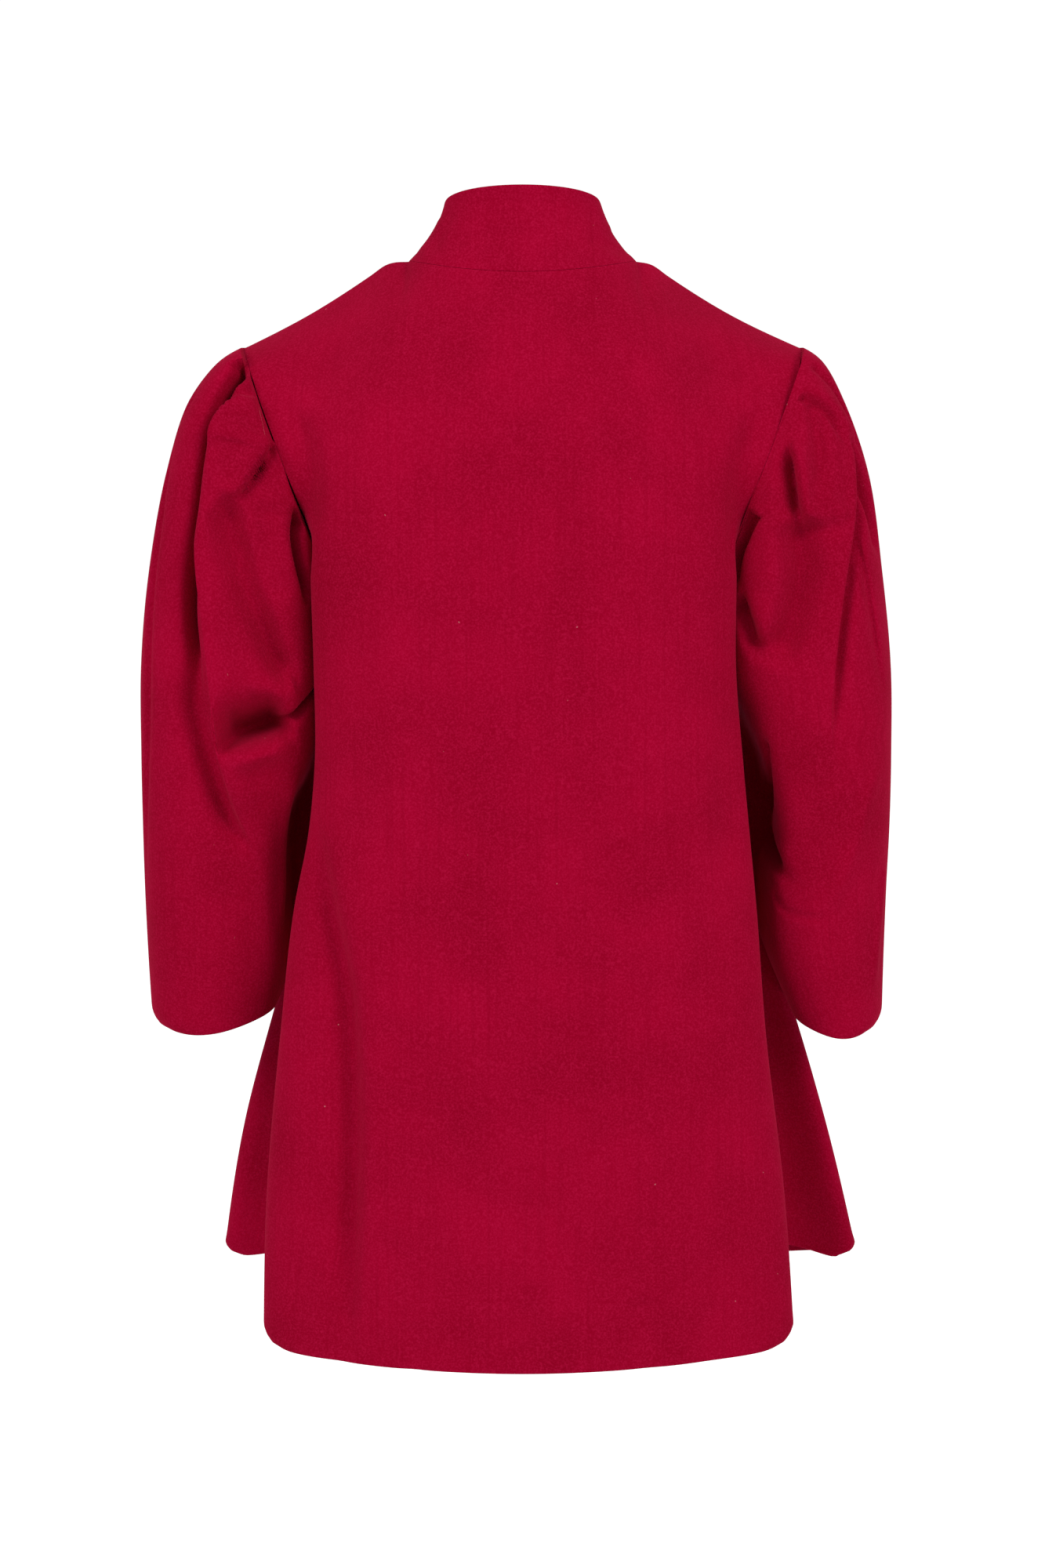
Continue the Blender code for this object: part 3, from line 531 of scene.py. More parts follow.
RIGHT_SLEEVE = table(
    "down outer_x outer_z inner_x inner_z back_y front_y swell",
    (   0,   236,  -72, 166, -262,  -80,  70,  0),
    (  60,   253,  -84, 169, -277,  -91,  80,  0),
    ( 140,   272, -118, 171, -298,  -98,  88,  0),
    ( 240,   293, -178, 171, -324, -100,  93,  0),
    ( 360,   306, -262, 174, -352,  -99,  97,  3),
    ( 480, 314.5, -340, 190, -385,  -95, 101, 14),
    ( 600, 316.5, -415, 209, -435,  -88, 104, 30),
    ( 700, 316.5, -475, 216, -485,  -81, 106, 32),
    ( 800,   315, -535, 209, -535,  -74, 107, 19),
    ( 900,   314, -595, 212, -587,  -67, 107,  6),
    (1000, 313.5, -655, 235, -648,  -58, 106,  0))
SLEEVE_ROUNDNESS = 0.50
EDGE_ROUNDNESS = 0.28
EDGE_TURNS = (100.0, 150.0), (180.0, 215.0)
EDGE_DOWN = (0.4, 0.6)
SWELL_TURNS = (178.0, 214.0), (232.0, 300.0)
CUFF_DIP = 0.010
CUFF_DIP_START = 0.75
CUFF_CORNER = 0.012
CUFF_CORNER_START = 0.972


def sleeve_ring(rows, down):
    """Outer x and z, inner x and z, reach back and forward, and the front half's swelling."""
    names = ("outer_x", "outer_z", "inner_x", "inner_z", "back_y", "front_y", "swell")
    columns = np.stack([rows[name] for name in names], axis=-1)
    return through(rows["down"], columns, down)


def sleeve_places(rows, down, turn):
    """Places on a sleeve: turn 0 at the outer side, 180 at the inner, positive behind."""
    ring = sleeve_ring(rows, down)
    angle = np.radians(turn)
    out = (1 + np.cos(angle)) / 2
    x = ring[:, 2] + (ring[:, 0] - ring[:, 2]) * out
    x = x - ring[:, 6] * between(turn, *SWELL_TURNS)
    late = np.clip((down - CUFF_CORNER_START) / (1 - CUFF_CORNER_START), 0.0, 1.0)
    x = x - CUFF_CORNER * (1 - np.sqrt(1 - late ** 2)) * out ** 2
    z = ring[:, 3] + (ring[:, 1] - ring[:, 3]) * out
    middle = (ring[:, 4] + ring[:, 5]) / 2
    depth = (ring[:, 5] - ring[:, 4]) / 2
    inner_edge = between(turn, *EDGE_TURNS) * ease(down, *EDGE_DOWN)
    roundness = SLEEVE_ROUNDNESS + (EDGE_ROUNDNESS - SLEEVE_ROUNDNESS) * inner_edge
    round_out = np.sign(np.sin(angle)) * np.abs(np.sin(angle)) ** roundness
    y = middle - depth * round_out
    dip = CUFF_DIP * ease(down, CUFF_DIP_START, 1.0) * np.sin(angle) ** 2
    return np.stack([x, y, z - dip], axis=-1)


def sleeve_find(rows, line):
    """The (down, turn) of places seen from behind, by the ring whose span they lie on."""
    downs = np.linspace(0.0, 1.0, 241)
    ring = sleeve_ring(rows, downs)
    found = []
    for x, z in line:
        span_x = ring[:, 2] - ring[:, 0]
        span_z = ring[:, 3] - ring[:, 1]
        miss = span_x * (z - ring[:, 1]) - span_z * (x - ring[:, 0])
        down = np.interp(0.0, -miss, downs)
        outer_x, outer_z, inner_x, inner_z = sleeve_ring(rows, np.array([down]))[0, :4]
        part = ((x - outer_x) * (inner_x - outer_x) + (z - outer_z) * (inner_z - outer_z)) / (
            (inner_x - outer_x) ** 2 + (inner_z - outer_z) ** 2)
        found.append((down, math.degrees(math.acos(1 - 2 * min(max(part, 0.0), 1.0)))))
    return np.array(found)


elbow = sleeve_places(LEFT_SLEEVE, np.full(361, 0.6), np.linspace(0, 360, 361))
print("round the left sleeve at the elbow, m:", round(path_length(elbow), 3))

# %% [markdown]
# ## Pleats and creases of the left sleeve
# Behind, a narrow deep groove runs from the shoulder seam down the outer side. Next to it the
# first pleat's edge curves into a long roll, and a second pleat ends in a soft valley that
# reaches the elbow. There the cloth is pinched into a dark hollow. The front half is laid in
# the same way, a little differently, because no two pleats fall alike.
# %% Folds of the left sleeve
LEFT_SLEEVE_FOLDS = (
    valley(36, 8.2, (226, -80), (232, -92), (240, -106), (249, -122), (254, -141), (259, -167),
           (264, -208), (270, -250), (273, -290), (272, -335), (272, -372), fade=(0.01, 0.3),
           over=6),
    valley(11, 11, (276, -330), (275, -372), (268, -405), (257, -440), (247, -468), (231, -502),
           fade=(0.2, 0.25)),
    step_in(12, 4.5, (216, -111), (229, -117), (240, -126), (248, -140), (253, -160),
            fade=(0.05, 0.3), over=4),
    step_in(13, 6.5, (222, -114), (233, -120), (243, -128), (252, -140), (258, -158), (263, -184),
            (266, -223), (265, -260), (262, -300), (260, -364), (257, -405), (250, -434),
            (242, -465), (230, -495), (217, -525), fade=(0.03, 0.25), over=5),
    ridge(4, 10, (252, -190), (255, -240), (252, -300), (249, -370), (243, -420), (230, -465),
          (217, -500)),
    valley(8, 3.6, (205, -151), (213, -166), (221, -179), (230, -192), (236, -199),
           fade=(0.04, 0.2)),
    step_out(9, 5, (203, -149), (213, -166), (221, -179), (230, -192), (238, -202),
             fade=(0.04, 0.25), over=3.5, way="out"),
    valley(18, 10, (238, -190), (240, -218), (235, -242), (228, -271), (218, -298), (209, -322),
           (201, -340), (192, -360), fade=(0.14, 0.15)),
    ridge(3, 7, (236, -184), (245, -201), (253, -216)),
    valley(2.5, 10, (233, -150), (236, -172), (238, -192)),
    valley(4, 11, (214, -200), (213, -238), (208, -264), (200, -292)),
    valley(24, 8, (184, -204), (190, -217), (191, -232), (187, -256), (178, -290), fade=(0.15, 0.3),
           over=4, way="out"),
    valley(18, 6.2, (170, -350), (183, -370), (193, -380), (203, -386), (213, -389),
           fade=(0.05, 0.4), over=3, way="up"),
    valley(50, 23, (192, -384), (210, -392), (230, -398), (254, -402), fade=(0.3, 0.25), over=8,
           way="down"),
    ridge(10, 10, (190, -410), (220, -419), (244, -424), fade=(0.35, 0.3)),
    ridge(6, 9, (186, -425), (197, -452), (206, -485), (208, -530), (207, -580), fade=(0.2, 0.3)),
    ridge(5, 14, (190, -352), (208, -358), (226, -366)),
    valley(5, 5.5, (268, -98), (279, -116), (290, -138), (298, -170), (305, -215), (311, -260),
           (315, -310), (317, -370), (320, -430), (322, -500), (322, -560), fade=(0.08, 0.35)),
    valley(16, 8, (230, -92), (243, -112), (255, -135), (272, -205), (286, -300), (280, -390),
           front=True, fade=(0.04, 0.25)),
    step_in(6, 5, (213, -128), (238, -160), (250, -220), (252, -320), (240, -420), front=True,
            fade=(0.04, 0.25)),
    valley(9, 10, (196, -168), (216, -205), (218, -270), (204, -350), front=True),
    valley(12, 12, (190, -385), (225, -400), (285, -380), front=True),
    valley(8, 11, (205, -440), (250, -440), (300, -410), front=True))
print("folds of the left sleeve:", len(LEFT_SLEEVE_FOLDS))

# %% [markdown]
# ## Pleats and creases of the right sleeve
# The right sleeve swings back a little more, so its first roll stands out sharply and hides
# part of the outer side. Two small tucks meet near the seam, a turned flap of cloth leaves a
# short dark slot, and a broad hollow runs down to the elbow.
# %% Folds of the right sleeve
RIGHT_SLEEVE_FOLDS = (
    valley(6, 5, (240, -86), (252, -96), (263, -110), (272, -128), (280, -147), (287, -170),
           fade=(0.08, 0.3)),
    valley(15, 7.5, (278, -160), (285, -182), (291, -203), (296, -225), (300, -250),
           fade=(0.3, 0.35)),
    ridge(4, 9, (233, -103), (245, -110), (257, -120), (268, -134), (276, -152), (278, -180),
          (277, -215), (271, -257), (267, -300), (263, -345), (264, -390), (267, -438),
          fade=(0.05, 0.25)),
    valley(14, 8.5, (272, -140), (277, -160), (279, -185), (278, -215), (272, -255), (266, -300),
           (262, -345), (262, -390), (266, -432), fade=(0.08, 0.35), over=5),
    valley(4, 7, (278, -226), (287, -260), (294, -297), (300, -337), (306, -372), fade=(0.15, 0.45),
           over=2, way="out"),
    valley(7, 6, (229, -115), (239, -120), (248, -125), (256, -132), (263, -144), (270, -160),
           fade=(0.04, 0.55), over=1.5),
    valley(7, 5.5, (234, -118), (241, -132), (244, -146), (247, -162), (249, -180), (249, -192),
           fade=(0.15, 0.3)),
    valley(16, 7, (214, -152), (222, -163), (226, -180), (228, -196), (230, -216), (232, -232),
           fade=(0.3, 0.45), over=5, way="out"),
    valley(7, 9.5, (212, -162), (219, -180), (223, -200), (226, -225), fade=(0.3, 0.4)),
    ridge(6, 5.5, (220, -153), (231, -160), (236, -178), (237, -198), (242, -211), (253, -213),
          fade=(0.1, 0.2)),
    valley(4, 7, (236, -224), (250, -224), (262, -216)),
    ridge(3, 6, (250, -192), (260, -205), (268, -214)),
    valley(21, 13.5, (229, -212), (232, -240), (231, -270), (225, -298), (215, -322), (203, -338),
           fade=(0.12, 0.2)),
    ridge(3, 12, (203, -200), (206, -240), (206, -280)),
    valley(18, 9, (196, -212), (188, -228), (181, -248), (178, -272), fade=(0.05, 0.3), over=3,
           way="out"),
    valley(3, 6, (214, -204), (205, -209), (196, -216)),
    valley(18, 8, (178, -280), (186, -302), (192, -318), (204, -328), (216, -329), fade=(0.1, 0.5)),
    valley(14, 9, (203, -395), (209, -425), (212, -460), (212, -500), (216, -514), fade=(0.1, 0.2),
           over=5, way="out"),
    valley(12, 7, (210, -502), (219, -514), (227, -522), (237, -530), fade=(0.15, 0.5)),
    valley(2, 3.5, (213, -532), (222, -547), (240, -552), (262, -552)),
    ridge(3, 8, (299, -425), (289, -462), (279, -498), (267, -530), (260, -550)),
    ridge(3, 6, (309, -510), (305, -560), (301, -620)),
    valley(15, 8, (232, -90), (254, -132), (268, -200), (280, -300), (276, -380), front=True,
           fade=(0.04, 0.25)),
    step_in(6, 5, (218, -126), (240, -158), (248, -220), (250, -320), (244, -410), front=True,
            fade=(0.04, 0.25)),
    valley(9, 10, (202, -163), (220, -205), (218, -280), (208, -345), front=True),
    valley(11, 12, (205, -395), (240, -400), (285, -375), front=True))
print("folds of the right sleeve:", len(RIGHT_SLEEVE_FOLDS))

# %% [markdown]
# ## Gathering the tube and sewing it to the armhole
# Columns of the grid crowd together where a long fold runs, so a narrow groove has enough
# cloth in it. The first ring is not drawn at all: it takes its places from the edges of the
# back and the front, because a sleeve's head is sewn to them.
# %% A grid of places for one sleeve
SLEEVE_COLUMNS = 240
SLEEVE_ROWS = 178
SLEEVE_GAP = 0.0003
PRESS_STRAIGHT = 1.6
CROWDING, CROWD_TURNS, CROWD_DOWN = 1.3, 9.0, (0.02, 0.12)
LONG_FOLD = 0.3
HEAD_PRESS, HEAD_SLIDE = (0.0, 0.014), (0.0, 0.03)


def sleeve_turns(tracks, downs):
    """Turns of the columns on each ring, closer together where folds run down the sleeve."""
    even = np.linspace(0.0, 360.0, 721)
    turns = []
    for down in downs:
        density = np.ones_like(even)
        for track in tracks:
            order = np.argsort(track[:, 0])
            at = np.interp(down, track[order, 0], track[order, 1])
            density += CROWDING * ease(down, *CROWD_DOWN) * np.exp(
                -((even - at) / CROWD_TURNS) ** 2)
        total = np.concatenate([[0.0], np.cumsum((density[1:] + density[:-1]) / 2)])
        turns.append(np.interp(np.linspace(0, total[-1], SLEEVE_COLUMNS + 1), total, even))
    return np.array(turns)


def sleeve_grid(rows, folds, side, seam_back, seam_front):
    """One sleeve's outer face, a closed grid: rows down, columns round from the outer side."""
    found = [sleeve_find(rows, item["line"]) for item in folds]
    for track, item in zip(found, folds):
        if item["front"]:
            track[:, 1] = 360.0 - track[:, 1]
    long_tracks = [track for track in found if np.ptp(track[:, 0]) > LONG_FOLD]
    downs = np.linspace(0.0, 1.0, SLEEVE_ROWS + 1)
    turns = sleeve_turns(long_tracks, downs)
    down_at = np.repeat(downs, SLEEVE_COLUMNS + 1)
    base = sleeve_places(rows, down_at, turns.ravel())
    square = normals(base.reshape(turns.shape + (3,)), closed=True).reshape(-1, 3)
    rise = np.zeros(len(base))
    aside = np.zeros_like(base)
    for track, item in zip(found, folds):
        knots = np.linspace(0, 1, len(track))
        fine = through(knots, track, np.linspace(0, 1, 36))
        line = sleeve_places(rows, np.clip(fine[:, 0], 0, 1), fine[:, 1])
        offset, far, along = nearest(base, line)
        steep = lapping(item, offset, far) if item["over"] else 0.0
        rise += relief(item, far, along, -offset[:, 0], steep)
        if item["over"]:
            aside += slide(item, offset, far, along)
    rise *= ease(down_at, *HEAD_PRESS)
    aside *= ease(down_at, *HEAD_SLIDE)[:, None]
    straight = np.sin(np.radians(turns.ravel()))
    push = square + PRESS_STRAIGHT * np.outer(straight, (0, 1, 0))
    push /= np.linalg.norm(push, axis=-1, keepdims=True)
    grid = (base + aside - rise[:, None] * push).reshape(turns.shape + (3,)) * (side, 1, 1)
    loop = np.concatenate([seam_back, seam_front[::-1][1:]])
    loop[0] = loop[-1] = (loop[0] + loop[-1]) / 2
    loop_turns = np.linspace(0.0, 360.0, len(loop))
    grid[0] = np.stack([np.interp(turns[0], loop_turns, part) for part in loop.T], axis=-1)
    return grid + (side * SLEEVE_GAP, 0, 0)


hole = slice(0, ARMHOLE_ROWS + 1)
sleeve_left = sleeve_grid(LEFT_SLEEVE, LEFT_SLEEVE_FOLDS, -1, back[hole, 0], front_left[hole, -1])
sleeve_right = sleeve_grid(RIGHT_SLEEVE, RIGHT_SLEEVE_FOLDS, 1, back[hole, -1],
                           front_right[hole, 0])
print("places in a sleeve:", sleeve_left.shape[:2])

# %% [markdown]
# ## The stand collar
# A stand collar is one stiffened strip. It starts on the neck seam and leans in to a narrower
# free edge, high behind and lower in front, so it is drawn between those two rings. Between
# them it curves in a little, and a few shallow creases cross it where the neck bends.
# %% A grid of places for the collar
COLLAR_TOP_HALF_WIDTH = 0.066
COLLAR_TOP_BACK, COLLAR_TOP_FRONT = 0.049, 0.076
COLLAR_TOP_SIDE_Z = 0.047
COLLAR_BACK_RISE, COLLAR_FRONT_FALL = 0.0135, 0.058
COLLAR_HOLLOW = 0.005
COLLAR_ROWS = 26
COLLAR_CREASES = (
    valley(1.2, 4.5, (-62, 14), (-40, 19), (-10, 21), (12, 18)),
    ridge(1.2, 5, (-66, 34), (-78, 16), (-88, 3)),
    valley(1, 4, (-58, 40), (-70, 18), (-80, 3)),
    ridge(1.2, 5, (60, 46), (68, 32), (74, 22)),
    valley(1.2, 4, (56, 16), (75, 10), (92, 1)),
    valley(0.8, 6, (-20, 48), (12, 46), (40, 40)))


def collar_top(turn):
    """The collar's free edge, by the same turn as the neck seam."""
    angle = np.radians(turn)
    behind = np.cos(angle) > 0
    x = COLLAR_TOP_HALF_WIDTH * np.sin(angle)
    y = NECK_MIDDLE_Y - np.where(behind, COLLAR_TOP_BACK, COLLAR_TOP_FRONT) * np.cos(angle)
    lean = np.abs(np.cos(angle))
    z = COLLAR_TOP_SIDE_Z + np.where(behind, COLLAR_BACK_RISE * lean ** 0.8,
                                     -COLLAR_FRONT_FALL * lean ** 1.3)
    return np.stack([x, y, z], axis=-1)


def collar_grid():
    """The collar's outer face, rows up, from the left front edge round the back."""
    half = np.concatenate([np.linspace(0.0, 90.0, NECK_COLUMNS + 1),
                           np.linspace(90.0, 180.0, NECK_COLUMNS + 1)[1:]])
    turns = np.concatenate([-half[::-1], half[1:]])
    base = neckline(turns)
    rise = collar_top(turns) - base
    heights = np.linspace(0.0, 1.0, COLLAR_ROWS + 1)[:, None, None]
    square = np.cross(np.gradient(base, axis=0), rise)
    square /= np.linalg.norm(square, axis=-1, keepdims=True)
    lift = SEAM_GAP * rise / np.linalg.norm(rise, axis=-1, keepdims=True)
    hollow = COLLAR_HOLLOW * 4 * heights * (1 - heights)
    grid = base + lift + rise * heights - hollow * square
    flat = grid.reshape(-1, 3)
    press = np.zeros(len(flat))
    for item in COLLAR_CREASES:
        line = through(np.linspace(0, 1, len(item["line"])), item["line"], np.linspace(0, 1, 16))
        _, far, along = nearest(flat[:, (0, 2)], line)
        press += relief(item, far, along, far) * (flat[:, 1] < NECK_MIDDLE_Y)
    grid += press.reshape(grid.shape[:2])[..., None] * normals(grid) * -1
    grid[:, 0, 0] -= HALF_GAP
    grid[:, -1, 0] += HALF_GAP
    return grid


collar = collar_grid()
print("collar's free edge round, m:", round(path_length(collar[-1]), 3))

# %% [markdown]
# ## Agreeing the walls along the seams
# Cloth has a thickness, so every place also needs the direction in which its wall stands. At
# a seam both neighbours must agree on it, or their walls would cross. The seams themselves
# sink a little, because the stitches pull the cloth down, which gives the thin dark line.
# %% Wall directions and sunken seams
SEAM_DIP = 0.0008
SEAM_ROLL = 0.0036


def share(first, second):
    """Give two edges that meet at a seam one direction for their walls."""
    both = first + second
    both /= np.linalg.norm(both, axis=-1, keepdims=True)
    first[:] = both
    second[:] = both


def lengths_along(grid, axis):
    """Length of cloth from the first row or column to each place."""
    steps = np.linalg.norm(np.diff(grid, axis=axis), axis=-1)
    start = np.zeros_like(np.take(steps, [0], axis=axis))
    return np.concatenate([start, np.cumsum(steps, axis=axis)], axis=axis)


def sink(grid, out, edges):
    """Lower the cloth towards its sewn edges: 'top', 'left', 'right' or 'bottom'."""
    across, down = lengths_along(grid, 1), lengths_along(grid, 0)
    ways = {"left": across, "right": across[:, -1:] - across,
            "top": down, "bottom": down[-1:] - down}
    dip = np.zeros(grid.shape[:2])
    for edge in edges:
        dip = np.maximum(dip, np.exp(-(ways[edge] / SEAM_ROLL) ** 2))
    return grid - SEAM_DIP * dip[..., None] * out


back_out, left_out, right_out = normals(back), normals(front_left), normals(front_right)
for out in (back_out, left_out, right_out):
    out[0] = out[1]
share(back_out[ARMHOLE_ROWS:, 0], left_out[ARMHOLE_ROWS:, -1])
share(back_out[ARMHOLE_ROWS:, -1], right_out[ARMHOLE_ROWS:, 0])
share(back_out[0, SHOULDER_COLUMNS::-1], left_out[0, NECK_COLUMNS:])
share(back_out[0, -SHOULDER_COLUMNS - 1:], right_out[0, SHOULDER_COLUMNS::-1])
sleeve_left_out = normals(sleeve_left, closed=True)
sleeve_right_out = -normals(sleeve_right, closed=True)
print("side seams share their walls' direction from row", ARMHOLE_ROWS)

# %% [markdown]
# ## The armhole seam
# Where a sleeve's head runs on from the shoulder, both cloths share one direction. Lower down
# they meet at a sharp angle, and each keeps its own. The panel and the sleeve have different
# numbers of places round the seam, so each one's directions are read at the other's places.
# %% One direction for the walls round each armhole
ALIKE = (0.3, 0.8)
LEAST_SUM = 0.2


def read_at(values, count):
    """A line of directions, read at another number of evenly spaced places."""
    knots = np.linspace(0.0, 1.0, len(values))
    at = np.linspace(0.0, 1.0, count)
    return np.stack([np.interp(at, knots, part) for part in values.T], axis=-1)


def share_armhole(panel_out, sleeve_out):
    """Blend the wall directions round half an armhole where the two cloths run on."""
    for_panel = read_at(sleeve_out, len(panel_out))
    for_sleeve = read_at(panel_out, len(sleeve_out))
    for out, other in ((panel_out, for_panel), (sleeve_out, for_sleeve)):
        alike = np.sum(out * other, axis=-1, keepdims=True)
        both = out + other
        both /= np.maximum(np.linalg.norm(both, axis=-1, keepdims=True), LEAST_SUM)
        out += (both - out) * ease(alike, *ALIKE)
        out /= np.linalg.norm(out, axis=-1, keepdims=True)


behind = slice(0, SLEEVE_COLUMNS // 2 + 1)
before = slice(SLEEVE_COLUMNS, SLEEVE_COLUMNS // 2 - 1, -1)
for edge_out, sleeve_out, half in (
        (back_out[hole, 0], sleeve_left_out[0], behind),
        (left_out[hole, -1], sleeve_left_out[0], before),
        (back_out[hole, -1], sleeve_right_out[0], behind),
        (right_out[hole, 0], sleeve_right_out[0], before)):
    share_armhole(edge_out, sleeve_out[half])
for sleeve_out in (sleeve_left_out, sleeve_right_out):
    sleeve_out[0, 0] = sleeve_out[0, -1]

neck_out = np.concatenate([left_out[0, :NECK_COLUMNS],
                           back_out[0, SHOULDER_COLUMNS:-SHOULDER_COLUMNS],
                           right_out[0, SHOULDER_COLUMNS + 1:]])
seam_fall = np.exp(-(lengths_along(collar, 0) / SEAM_ROLL) ** 2)[..., None]
collar -= SEAM_DIP * seam_fall * neck_out
back = sink(back, back_out, ("left", "right", "top"))
front_left = sink(front_left, left_out, ("right", "top"))
front_right = sink(front_right, right_out, ("left", "top"))
sleeve_left = sink(sleeve_left, sleeve_left_out, ("top",))
sleeve_right = sink(sleeve_right, sleeve_right_out, ("top",))
print("seams sink by, mm:", 1000 * SEAM_DIP)

# %% [markdown]
# ## From a grid of places to cloth
# Blender's grid operator makes a flat sheet of faces. Each of its corners is then moved to
# its place on the coat, and the whole sheet is extruded into a wall. A Solidify modifier
# would be quicker to write, but it can't keep two walls in line where they meet at a seam.
# The last bevel rounds the cut edges, so they catch the light as thick wool does.
# %% Making a piece of cloth
CLOTH_WALL = 0.0020
HEM_WALL = 0.0034
HEM_DEPTH = 0.022
HEM_SLOPE = 0.006
COLLAR_WALL = 0.0035
EDGE_ROUND = 0.0008
EDGE_ANGLE = math.radians(55)
SHARP_ANGLE = math.radians(75)


def hemmed(grid):
    """Wall thickness at each place: the cloth, and a turned hem along the last row."""
    down = lengths_along(grid, 0)
    left = down[-1:] - down
    turned = 1 - ease(left, HEM_DEPTH - HEM_SLOPE, HEM_DEPTH)
    return CLOTH_WALL + (HEM_WALL - CLOTH_WALL) * turned


def cloth(name, grid, outward, wall, free_sides=(), closed=False):
    """One piece of cloth: a grid laid on its places, then extruded to its wall."""
    rows, columns = grid.shape[0] - 1, grid.shape[1] - 1
    inside = grid - (wall if np.isscalar(wall) else wall[..., None]) * outward
    across, down = lengths_along(grid, 1), lengths_along(grid, 0)
    across = across - across[:, columns // 2:columns // 2 + 1]
    bm = bmesh.new()
    bmesh.ops.create_grid(bm, x_segments=columns, y_segments=rows, size=0.5)
    place = bm.verts.layers.int.new("place")
    chart = bm.loops.layers.uv.new("cloth")
    for corner in bm.verts:
        column = round((corner.co.x + 0.5) * columns)
        row = round((0.5 - corner.co.y) * rows)
        corner.co = grid[row, column]
        corner[place] = row * (columns + 1) + column
    for face in bm.faces:
        for loop in face.loops:
            row, column = divmod(loop.vert[place], columns + 1)
            loop[chart].uv = across[row, column], down[row, column]
    if closed:
        bmesh.ops.remove_doubles(bm, verts=bm.verts[:], dist=1e-6)
    lifted = bmesh.ops.extrude_face_region(bm, geom=bm.faces[:])
    for item in lifted["geom"]:
        if isinstance(item, bmesh.types.BMVert):
            item.co = inside[divmod(item[place], columns + 1)]
    bmesh.ops.recalc_face_normals(bm, faces=bm.faces[:])
    free = np.zeros(grid.shape[:2], dtype=bool)
    free[-1] = True
    for edge in free_sides:
        free[:, edge] = True
    rim = set(np.flatnonzero(free.ravel()).tolist())
    sharp = [edge for edge in bm.edges
             if all(corner[place] in rim for corner in edge.verts)
             and edge.verts[0][place] != edge.verts[1][place]
             and edge.calc_face_angle(0.0) > EDGE_ANGLE]
    bmesh.ops.bevel(bm, geom=sharp, offset=EDGE_ROUND, segments=2, profile=0.5,
                    affect="EDGES", material=-1, clamp_overlap=True)
    mesh = bpy.data.meshes.new(name)
    bm.to_mesh(mesh)
    bm.free()
    mesh.shade_smooth()
    mesh.set_sharp_from_angle(angle=SHARP_ANGLE)
    return into_scene(name, mesh)


def cloth_area(grid):
    """Area of the cloth laid on a grid of places, one side only, in square metres."""
    along, over = np.diff(grid, axis=1)[:-1], np.diff(grid, axis=0)[:, :-1]
    return float(np.linalg.norm(np.cross(along, over), axis=-1).sum())


FREE_SIDES = {"front_left": (0,), "front_right": (-1,), "collar": (0, -1)}
grids = {"back": back, "front_left": front_left, "front_right": front_right,
         "collar": collar, "sleeve_left": sleeve_left, "sleeve_right": sleeve_right}
outs = {"back": back_out, "front_left": left_out, "front_right": right_out,
        "collar": -normals(collar), "sleeve_left": sleeve_left_out,
        "sleeve_right": sleeve_right_out}
pieces = {}
for name, grid in grids.items():
    wall = COLLAR_WALL if name == "collar" else hemmed(grid)
    pieces[name] = cloth(name + "_cloth", grid, outs[name], wall, FREE_SIDES.get(name, ()),
                         closed=name.startswith("sleeve"))
    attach(pieces[name], "root")
    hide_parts(name)
    print(name, "faces:", len(pieces[name].data.polygons), " area, m2:",
          round(cloth_area(grid), 3), " widest, m:",
          round(float(lengths_along(grid, 1)[:, -1].max()), 3), " longest, m:",
          round(float(lengths_along(grid, 0)[-1].max()), 3))

# %% [markdown]
# ## Red fulled wool
# Fulling felts the weave until a short nap covers it, so the cloth looks matt and even, a
# little paler where it turns away, because the fibres stand up and catch the light. The
# colour is mixed from slow mottling, faint streaks along the warp and a fine speckle of
# fibres. The streaks follow the cloth's own chart of widths and lengths, so they bend with
# each pleat. A photograph of cloth could be used, but it would repeat and blur close up.
# %% Wool colours and helpers for nodes
WOOL = (0.385, 0.0006, 0.0255, 1.0)
WOOL_DEEP = (0.305, 0.0003, 0.0175, 1.0)
WOOL_PALE = (0.570, 0.0090, 0.0680, 1.0)
LINT = (0.72, 0.30, 0.33, 1.0)
SHEEN_TINT = (1.0, 0.05, 0.15, 1.0)


def add(tree, kind, at, **settings):
    """A new node in a material, with its settings."""
    node = tree.nodes.new(kind)
    node.location = at
    for key, value in settings.items():
        setattr(node, key, value)
    return node


def noise(tree, vector, scale, detail, at):
    node = add(tree, "ShaderNodeTexNoise", at)
    node.inputs["Scale"].default_value = scale
    node.inputs["Detail"].default_value = detail
    tree.links.new(vector, node.inputs["Vector"])
    return node.outputs[0]


def spread(tree, value, low, high, to_low, to_high, at):
    """Stretch a value from one range to another, held at its ends."""
    node = add(tree, "ShaderNodeMapRange", at)
    for key, number in zip(("From Min", "From Max", "To Min", "To Max"),
                           (low, high, to_low, to_high)):
        node.inputs[key].default_value = number
    tree.links.new(value, node.inputs["Value"])
    return node.outputs["Result"]


def blend_colour(tree, factor, first, second, at):
    """Mix two colours, each a plain colour or another node's."""
    node = add(tree, "ShaderNodeMix", at, data_type="RGBA")
    tree.links.new(factor, node.inputs["Factor"])
    for socket, colour in ((node.inputs[6], first), (node.inputs[7], second)):
        if isinstance(colour, tuple):
            socket.default_value = colour
        else:
            tree.links.new(colour, socket)
    return node.outputs[2]


print("wool, linear red, green, blue:", WOOL[:3])

